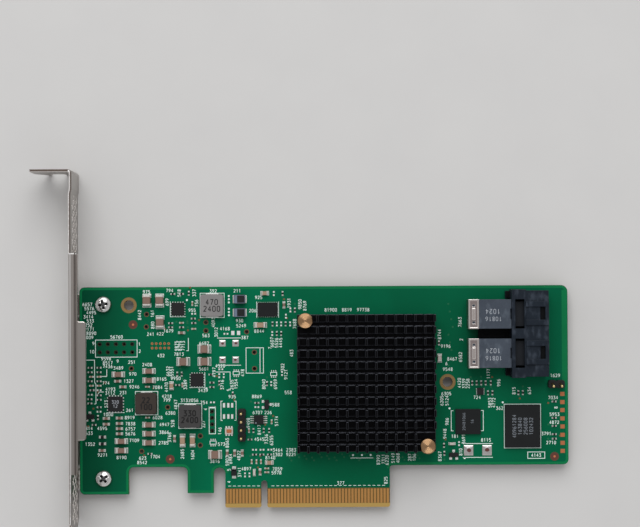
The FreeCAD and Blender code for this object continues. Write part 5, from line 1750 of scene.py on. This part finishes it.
# %% Printed numbers
NUMBERS = [
    (8.9, 29.2, 4), (15.6, 28.2, 4), (15.8, 26.3, 4), (15.8, 24.7, 4), (15.8, 23.2, 4), (7.0, 24.9, 4),
    (2.9, 24.9, 3), (2.9, 23.4, 3), (3.2, 20.0, 4), (7.1, 16.6, 4), (13.0, 15.8, 4), (17.0, 21.1, 4),
    (24.3, 28.2, 4), (26.4, 26.0, 4), (26.3, 23.6, 4), (26.1, 20.3, 4), (23.5, 16.0, 4), (19.6, 15.6, 3),
    (19.4, 14.2, 4), (15.6, 30.5, 3), (28.3, 29.6, 4), (27.2, 33.6, 3), (27.2, 34.8, 4), (33.0, 33.5, 4),
    (35.5, 33.5, 4), (21.0, 67.4, 3), (28.2, 67.8, 3), (31.0, 47.9, 4), (25.4, 47.5, 3), (16.3, 45.5, 3),
    (16.6, 41.8, 3), (12.1, 43.7, 4), (21.1, 44.7, 4), (15.3, 39.6, 4), (17.1, 37.8, 4), (25.6, 40.2, 4),
    (24.3, 37.6, 4), (11.9, 45.8, 1), (25.2, 54.3, 3), (22.2, 54.2, 3), (11.6, 53.4, 5), (27.8, 55.2, 4),
    (8.3, 46.6, 4), (8.8, 45.3, 4), (8.8, 44.2, 4), (35.2, 61.6, 3), (8.2, 39.0, 3), (9.6, 37.1, 4),
    (9.5, 35.9, 4), (13.6, 36.0, 3), (30.0, 40.4, 4), (55.3, 34.6, 4), (61.2, 32.0, 3), (55.5, 29.6, 4),
    (58.8, 29.6, 3), (56.0, 21.3, 4), (61.7, 17.9, 4), (65.9, 17.9, 4), (61.7, 16.5, 4), (65.9, 16.5, 4),
    (59.4, 15.5, 4), (61.6, 12.0, 4), (61.3, 10.8, 4), (51.9, 12.1, 4), (42.1, 14.5, 4), (47.6, 34.6, 3),
    (38.8, 32.8, 3), (44.2, 19.8, 3), (41.8, 67.6, 3), (49.3, 67.6, 3), (50.0, 58.3, 3), (50.5, 56.7, 4),
    (45.4, 55.8, 4), (51.6, 53.0, 3), (54.1, 61.4, 3), (56.0, 65.5, 3), (56.1, 55.0, 4), (39.5, 53.7, 3),
    (38.9, 51.3, 4), (38.8, 43.3, 4), (43.9, 44.2, 4), (38.5, 36.6, 4), (65.1, 35.8, 3), (81.3, 7.5, 3),
    (114.3, 50.0, 4), (126.7, 20.7, 4), (147.7, 33.8, 4), (148.1, 28.6, 4), (148.0, 26.1, 4),
    (145.5, 22.6, 4), (147.0, 19.8, 4), (148.4, 40.7, 4), (114.9, 42.8, 4), (116.3, 46.0, 4),
    (114.5, 44.6, 1), (114.4, 35.2, 4), (124.0, 34.0, 3), (142.3, 15.9, 4), (131.0, 30.6, 3),
    (117.0, 21.9, 3), (78.5, 61.5, 5), (83.5, 61.5, 4), (88.6, 61.5, 5),
]
LEFT_ROWS = 9
NUMBERS += [(2.5 + 0.3 * (row * 2 % 5), 63.6 - 1.29 * row, 4 - row % 5 // 4) for row in range(LEFT_ROWS)]
NUMBERS_UP = [
    (29.0, 26.3, 3), (30.0, 32.2, 4), (28.0, 22.0, 4), (32.0, 16.8, 4), (35.2, 16.5, 4), (8.3, 32.5, 3),
    (18.8, 60.2, 4), (22.8, 60.6, 3), (22.9, 57.0, 3), (27.4, 64.2, 3), (31.2, 67.0, 3), (35.9, 67.0, 3),
    (36.6, 63.8, 3), (30.3, 50.5, 4), (31.3, 50.5, 4), (32.4, 50.5, 4), (27.6, 42.6, 4), (28.8, 42.6, 4),
    (27.1, 37.6, 4), (33.0, 38.4, 4), (39.3, 30.7, 1), (38.6, 26.0, 3), (43.7, 23.9, 3), (46.0, 20.2, 4),
    (47.0, 15.2, 4), (46.0, 14.6, 4), (49.6, 16.2, 4), (49.8, 11.0, 4), (46.5, 11.8, 1), (46.5, 8.0, 1),
    (52.6, 26.4, 4), (56.0, 24.2, 4), (58.2, 21.3, 4), (59.8, 20.9, 4), (61.4, 26.9, 4), (41.8, 57.8, 4),
    (42.7, 54.7, 4), (65.5, 63.7, 4), (68.9, 63.3, 4), (70.4, 62.8, 4), (67.2, 57.2, 4), (60.1, 51.5, 4),
    (61.5, 51.3, 4), (62.8, 51.3, 4), (59.5, 49.7, 1), (66.2, 48.0, 3), (63.4, 43.7, 3), (64.4, 41.4, 4),
    (57.5, 38.4, 4), (61.1, 38.4, 4), (50.9, 42.0, 3), (42.0, 42.2, 4), (44.5, 38.3, 4), (47.5, 38.3, 4),
    (48.8, 38.5, 4), (46.5, 36.7, 1), (93.1, 14.7, 4), (94.7, 14.9, 4), (95.8, 14.6, 4), (97.7, 15.2, 4),
    (99.2, 15.2, 4), (102.9, 15.4, 3), (104.3, 15.4, 3), (95.4, 8.3, 3), (112.4, 53.7, 4),
    (118.8, 57.5, 4), (118.9, 46.6, 4), (119.2, 52.0, 1), (118.5, 38.5, 4), (119.9, 38.3, 4),
    (121.2, 38.3, 4), (127.6, 41.3, 4), (130.8, 38.5, 3), (135.5, 36.0, 3), (140.3, 36.0, 3),
    (128.0, 32.3, 4), (129.2, 32.3, 4), (119.7, 21.0, 4), (118.8, 17.0, 3), (148.6, 30.7, 1),
    (113.9, 22.7, 4), (112.3, 15.7, 4), (114.6, 26.5, 3), (113.0, 33.0, 4), (114.6, 33.0, 4),
]
PIN_MARKS = [(18.7, 51.1, "1"), (18.8, 48.9, "2"), (4.35, 51.4, "9"), (3.9, 48.8, "10")]

printed = Shape(INK)
for turn, (u, v, digits) in enumerate(NUMBERS):
    figures(printed, counted(turn, digits), u, v, INK)
for turn, (u, v, digits) in enumerate(NUMBERS_UP):
    figures(printed, counted(turn + len(NUMBERS), digits), u, v, INK, turn=90)
for u, v, text in PIN_MARKS:
    figures(printed, text, u, v, INK)
printed.piece("printed_numbers", "label_paper")

# %% [markdown]
# The outlines are the same ink: frames round headers and inductors, corners round parts that were never
# fitted, dots at first pins and a dashed line above the edge contacts. All but the dots are strips of
# even width along a few corners.

# %% Printed outlines
LINE = 0.18
DOT = 0.32
THICK_LINE = ([(40.4, 31.3), (42.35, 31.3)], 0.6)


def frame_line(u0, u1, v0, v1):
    return [(u0, v0), (u1, v0), (u1, v1), (u0, v1), (u0, v0)]


LINES = [frame_line(*sides) for sides in (
    (5.0, 18.0, 47.1, 52.45), (40.4, 42.35, 23.05, 31.5), (52.0, 57.4, 41.9, 49.8),
    (132.42, 143.78, 18.17, 31.83), (139.7, 145.0, 14.9, 16.9), (37.75, 45.25, 59.3, 66.9),
    (30.9, 38.1, 24.75, 32.45), (17.4, 24.4, 29.05, 36.35))]
LINES += [
    [(56.35, 41.9), (56.35, 49.8)], [(116.6, 29.9), (115.9, 29.9), (115.9, 23.6), (116.6, 23.6)],
    [(125.2, 29.9), (125.9, 29.9), (125.9, 23.6), (125.2, 23.6)],
    [(44.6, 33.2), (44.1, 33.2), (44.1, 27.2), (44.6, 27.2)],
    [(48.3, 33.2), (48.8, 33.2), (48.8, 27.2), (48.3, 27.2)],
    [(43.0, 52.9), (50.4, 52.9)], [(43.0, 44.4), (50.4, 44.4)], [(119.5, 19.6), (128.8, 19.6)],
    [(119.5, 15.3), (128.8, 15.3)], [(84.4, 15.3), (91.5, 15.3)],
    [(2.0, 52.9), (2.0, 46.2), (4.7, 46.2), (4.7, 39.2), (5.1, 38.7), (5.1, 32.6), (4.6, 32.5)],
    [(8.5, 43.3), (8.5, 41.1), (6.9, 41.1)], [(7.5, 36.25), (6.2, 36.25), (5.7, 35.6)],
    [(34.0, 53.0), (34.0, 49.0), (33.4, 49.0)], [(42.5, 42.3), (47.0, 42.3), (47.0, 39.5)],
    [(28.4, 64.4), (28.4, 59.6), (33.2, 59.6)], [(34.3, 37.5), (39.1, 37.5), (39.1, 42.3)],
    *[frame_line(u - 0.95, u + 0.95, v - 0.5, v + 0.5) for u, v in EMPTY_TRIOS],
    [(8.5, 29.8), (14.0, 29.8)], [(55.4, 64.2), (55.4, 59.2)], [(62.2, 64.2), (62.2, 59.2)],
]
DOTS = [
    (85.2, 16.2), (88.0, 16.2), (90.7, 16.2), (120.0, 15.1), (132.0, 32.4), (115.4, 30.6), (33.6, 64.8),
    (39.6, 37.2),
]
DOTS += [(46.7, v) for v in (66.0, 65.0, 64.0, 62.0, 61.0, 60.0)]
DASH_V = 6.75
DASH_LONG = 0.9
DASH_WIDE = 0.16
DASH_PITCH = 1.5
DASHES = 33
KEY_U = 57.5
KEY_CLEAR = 1.8

outlines = Shape(INK)
for line in LINES:
    outlines.strip(line, LINE, FACE, FACE + INK_THICK, INK)
outlines.strip(*THICK_LINE, FACE, FACE + INK_THICK, INK)
for u, v in DOTS:
    outlines.disc(u, v, DOT, FACE, FACE + INK_THICK, INK, 14)
for k in range(DASHES):
    u = TONGUE_U[0] + DASH_LONG + k * DASH_PITCH
    if abs(u - KEY_U) > KEY_CLEAR:
        outlines.strip([(u, DASH_V), (u + DASH_LONG, DASH_V)], DASH_WIDE, FACE, FACE + INK_THICK, INK)
outlines.piece("printed_outlines", "label_paper")

# %% [markdown]
# The larger parts carry plain numbers of their own, dark on pressed powder and paler on epoxy and nylon.
# They are the same stroked figures. The strokes start a little below the part's top, so that no gap
# shows under the ink.

# %% Figures on the parts
SUNK = 0.015
BOLD = 0.24
THIN = 0.12
BLOCK_TOP = 8.1
PART_FIGURES = (
    ("memory_small", ("20481066", "16"), 2.6, 0.8, 90, INK_GREY, STROKE_SHARE),
    ("memory_large", ("40961284", "163840", "256008", "102432"), 1.75, 1.05, 90, INK_GREY, STROKE_SHARE),
    ("inductor_upper", ("470", "2400"), -2.1, 1.6, 0, DARK_INK, STROKE_SHARE),
    ("inductor_left", ("22", "100"), -2.1, 1.6, 0, DARK_INK, BOLD),
    ("inductor_right", ("330", "2400"), -2.1, 1.6, 0, DARK_INK, BOLD),
    ("power_stage", ("320", "12"), -1.3, 0.9, 0, INK_PALE, STROKE_SHARE),
)
BLOCK_FIGURES = (("1024", 128.4, 0.8, 1.35), ("10816", 128.6, -1.5, 1.2))

part_print = Shape(INK_GREY, INK_PALE, DARK_INK)
for node, rows, gap, high, turn, ink, weight in PART_FIGURES:
    box = solids_of(node)[0]
    u, v = middle_of(*box)
    base = box[1][2] - FACE - SUNK
    for row, text in enumerate(rows):
        away = gap * (row - (len(rows) - 1) / 2)
        du, dv = (away, 0) if turn else (0, away)
        figures(part_print, text, u + du, v + dv, ink, high, turn, base=base, weight=weight)
for node in ("port_0_block", "port_1_block"):
    v = middle_of(*solids_of(node)[0])[1]
    for text, u, above, high in BLOCK_FIGURES:
        figures(part_print, text, u, v + above, INK_PALE, high, 180, base=BLOCK_TOP - SUNK, weight=THIN)
part_print.piece("figures_on_parts", "label_paper")

# %% [markdown]
# Each cable plug brings two small cards, and every card is gripped between two rows of springy blades.
# The blades stand in the socket's slots and can only be seen by looking into the mouths. They are
# pressed from strip, so a thin block with its edges broken is near enough.

# %% Socket blades
BLADE_ROWS = [2.6, 3.38, 4.7, 5.48]
BLADES = 9
BLADE_PITCH = 0.75
BLADE_U = (136.8, 140.0)
BLADE_HALF = 0.15
BLADE_THICK = 0.12

blades = Shape(GOLD)
for node in ("port_0_block", "port_1_block"):
    middle = middle_of(*solids_of(node)[0])[1]
    for height, k in product(BLADE_ROWS, range(BLADES)):
        v = middle + (k - (BLADES - 1) / 2) * BLADE_PITCH
        blades.block((BLADE_U[0], v - BLADE_HALF, FACE + height),
                     (BLADE_U[1], v + BLADE_HALF, FACE + height + BLADE_THICK), 0.03, GOLD)
blades.piece("socket_blades", "contact_gold")

# %% [markdown]
# The back is nearly flat: bare copper squares round the test holes, rings round the soldered pins, the
# footprints of chips that were never fitted, small rings under the cable sockets and fields where the
# mask looks lighter. They use the same pads and rings as the front, on the other side of the board.

# %% Back pads
BACK_SIGHTS = [(13.9, 57.45), (49.15, 58.35), (130.2, 19.0)]
FLAT_PACK = (38.75, 43.15)
FLAT_PACK_PINS = 25
FLAT_PACK_PITCH = 0.5
FLAT_PACK_REACH = 7.9
FLAT_PACK_PAD = (1.45, 0.28)
SOCKET_DOT_U = [123.6, 127.4, 131.25, 135.05]
SOCKET_DOT_V = (63.2, 51.1)
SOCKET_DOT_DRIFT = (0, 0.78, -0.75)
SOCKET_DOTS = 9
PALE_FIELDS = ((16.75, 20.7, 18.4, 44.4), (21.1, 26.3, 18.4, 44.4), (12.5, 15.9, 20.0, 32.6))

back_bare = Shape(SOLDER, COPPER, SIGHT_RED, SIGHT_DOT, MARGIN_GREEN, INK)


def square_eye(shape, u, v, hole, half, finish, side, sides=24):
    """A square pad with a round hole in it."""
    turns = [2 * math.pi * (k + 0.5) / sides for k in range(sides)]
    ways = [(math.cos(turn), math.sin(turn)) for turn in turns]
    inner = [(u + hole * a, v + hole * b) for a, b in ways]
    outer = [(u + half * a / max(abs(a), abs(b)), v + half * b / max(abs(a), abs(b))) for a, b in ways]
    shape.band(inner, outer, level(side, 0), level(side, RING_HIGH), finish)


for u, v in TEST_HOLES:
    square_eye(back_bare, u, v, PIN_HOLE, 0.9, COPPER, BACK)
for u, v in TEN_HOLES + FOUR_HOLES + TWO_HOLES:
    eye(back_bare, u, v, PIN_HOLE, 0.85, COPPER, BACK)
for u, v in MOUNT_HOLES:
    eye(back_bare, u, v, *MOUNT_RING, COPPER, BACK, 40)
for k, way in product(range(FLAT_PACK_PINS), (-FLAT_PACK_REACH, FLAT_PACK_REACH)):
    along = FLAT_PACK_PITCH * (k - (FLAT_PACK_PINS - 1) / 2)
    pad(back_bare, FLAT_PACK[0] + way, FLAT_PACK[1] + along, *FLAT_PACK_PAD, SOLDER, BACK)
    pad(back_bare, FLAT_PACK[0] + along, FLAT_PACK[1] + way, *FLAT_PACK_PAD[::-1], SOLDER, BACK)
for u, v in product((53.95, 55.2, 56.5, 57.8), (24.45, 19.05)):
    pad(back_bare, u, v, 0.6, 1.8, SOLDER, BACK)
for u, v in EDGE_PADS:
    pad(back_bare, u, v, *EDGE_PAD_SIZE, COPPER, BACK)
for v in (5.4, 13.2, 59.6, 67.4):
    pad(back_bare, 5.75, v, 9.9, 0.5, COPPER, BACK)
for u, v in BACK_SIGHTS:
    back_bare.disc(u, v, SIGHT_RADIUS, UNDER - RING_HIGH, UNDER, SIGHT_RED, 32)
    back_bare.disc(u, v, SIGHT_DOT_RADIUS, UNDER - 2 * RING_HIGH, UNDER, SIGHT_DOT, 20)
for start, (column, u), k in product(SOCKET_DOT_V, enumerate(SOCKET_DOT_U), range(SOCKET_DOTS)):
    drift = SOCKET_DOT_DRIFT[(k + column) % 3]
    eye(back_bare, u + drift, start - 0.764 * k, 0.16, 0.36, COPPER, BACK, 14)
for field in PALE_FIELDS:
    back_bare.plate(frame_line(*field)[:4], UNDER - 0.5 * FILM, UNDER, MARGIN_GREEN)
low, high = solids_of("serial_memory")[0]
u, v = middle_of(low, high)
back_bare.disc(u + 1.0, v + 1.5, 0.5, low[2] - 0.01, low[2] + 0.03, INK, 18)
back_bare.piece("bare_pads_back", "tin")

# %% [markdown]
# The back's legend is sparser than the front's: frames for the labels, the sockets and the empty
# footprints, and a number at every third of the listed small chips. Seen from behind, u runs the other
# way, and the figures' side takes care of that.

# %% Back legend
BACK_FRAMES = (
    (25.0, 57.0, 60.3, 66.6), (84.3, 116.0, 60.1, 66.6), (138.2, 145.2, 41.6, 68.1),
    (146.3, 150.3, 44.7, 67.8),
    (64.8, 71.2, 11.8, 43.5), (32.2, 45.3, 36.6, 49.7), (53.2, 58.6, 20.6, 22.9),
)
FIRST_PIN = (33.4, 48.5)
BACK_COUNT_FROM = 20

back_print = Shape(INK)
for sides in BACK_FRAMES:
    back_print.strip(frame_line(*sides), LINE, UNDER - INK_THICK, UNDER, INK)
back_print.disc(*FIRST_PIN, 0.4, UNDER - INK_THICK, UNDER, INK, 14)
for turn, (u, v) in enumerate(sorted(BACK_SMALL_U + BACK_SMALL_V)):
    if turn % 3 == 0:
        figures(back_print, counted(turn + BACK_COUNT_FROM, 3 + turn % 2), u + 1.2, v - 1.5, INK, side=BACK)
back_print.piece("printed_back", "label_paper")

# %% [markdown]
# Three of the back's four paper labels carry a row of bars and a line of figures. A bar code is only a row
# of strips of a few widths, so plain counting makes one.

# %% Label print
LABEL_BARS = (1, 2, 1, 3, 1, 1, 2, 1, 1, 3, 2, 1)
BAR = 0.17
LABEL_EDGE = 0.08
BARS_SHARE = (0.42, 0.04)
TEXT_SHARE = 0.25
LABEL_TEXTS = (("address_label", "40208160", True), ("assembly_label", "10240512", True),
               ("serial_label", "20406080", False))


def barred(shape, node, text, along_u):
    """A row of bars and a line of figures on one of the back's labels."""
    low, high = solids_of(node)[0]
    axis = 0 if along_u else 1
    place = list(middle_of(low, high))
    run, across = high[axis] - low[axis], high[1 - axis] - low[1 - axis]
    near, far = [place[1 - axis] - share * across for share in BARS_SHARE]
    paper = low[2] + 0.01
    at, k = low[axis] + LABEL_EDGE * run, 0
    while at < high[axis] - LABEL_EDGE * run:
        wide = BAR * LABEL_BARS[k % len(LABEL_BARS)]
        ends = [(at, near), (at + wide, near), (at + wide, far), (at, far)]
        shape.plate([end if along_u else end[::-1] for end in ends], paper - INK_THICK, paper, LABEL_INK)
        at += wide + BAR * (1 + (k * 5) % 3)
        k += 1
    place[1 - axis] += TEXT_SHARE * across
    figures(shape, text, *place, LABEL_INK, min(1.5, 0.3 * across), 0 if along_u else 90, BACK, UNDER - paper)


label_print = Shape(LABEL_INK)
for node, text, along_u in LABEL_TEXTS:
    barred(label_print, node, text, along_u)
label_print.piece("label_print", "label_paper")
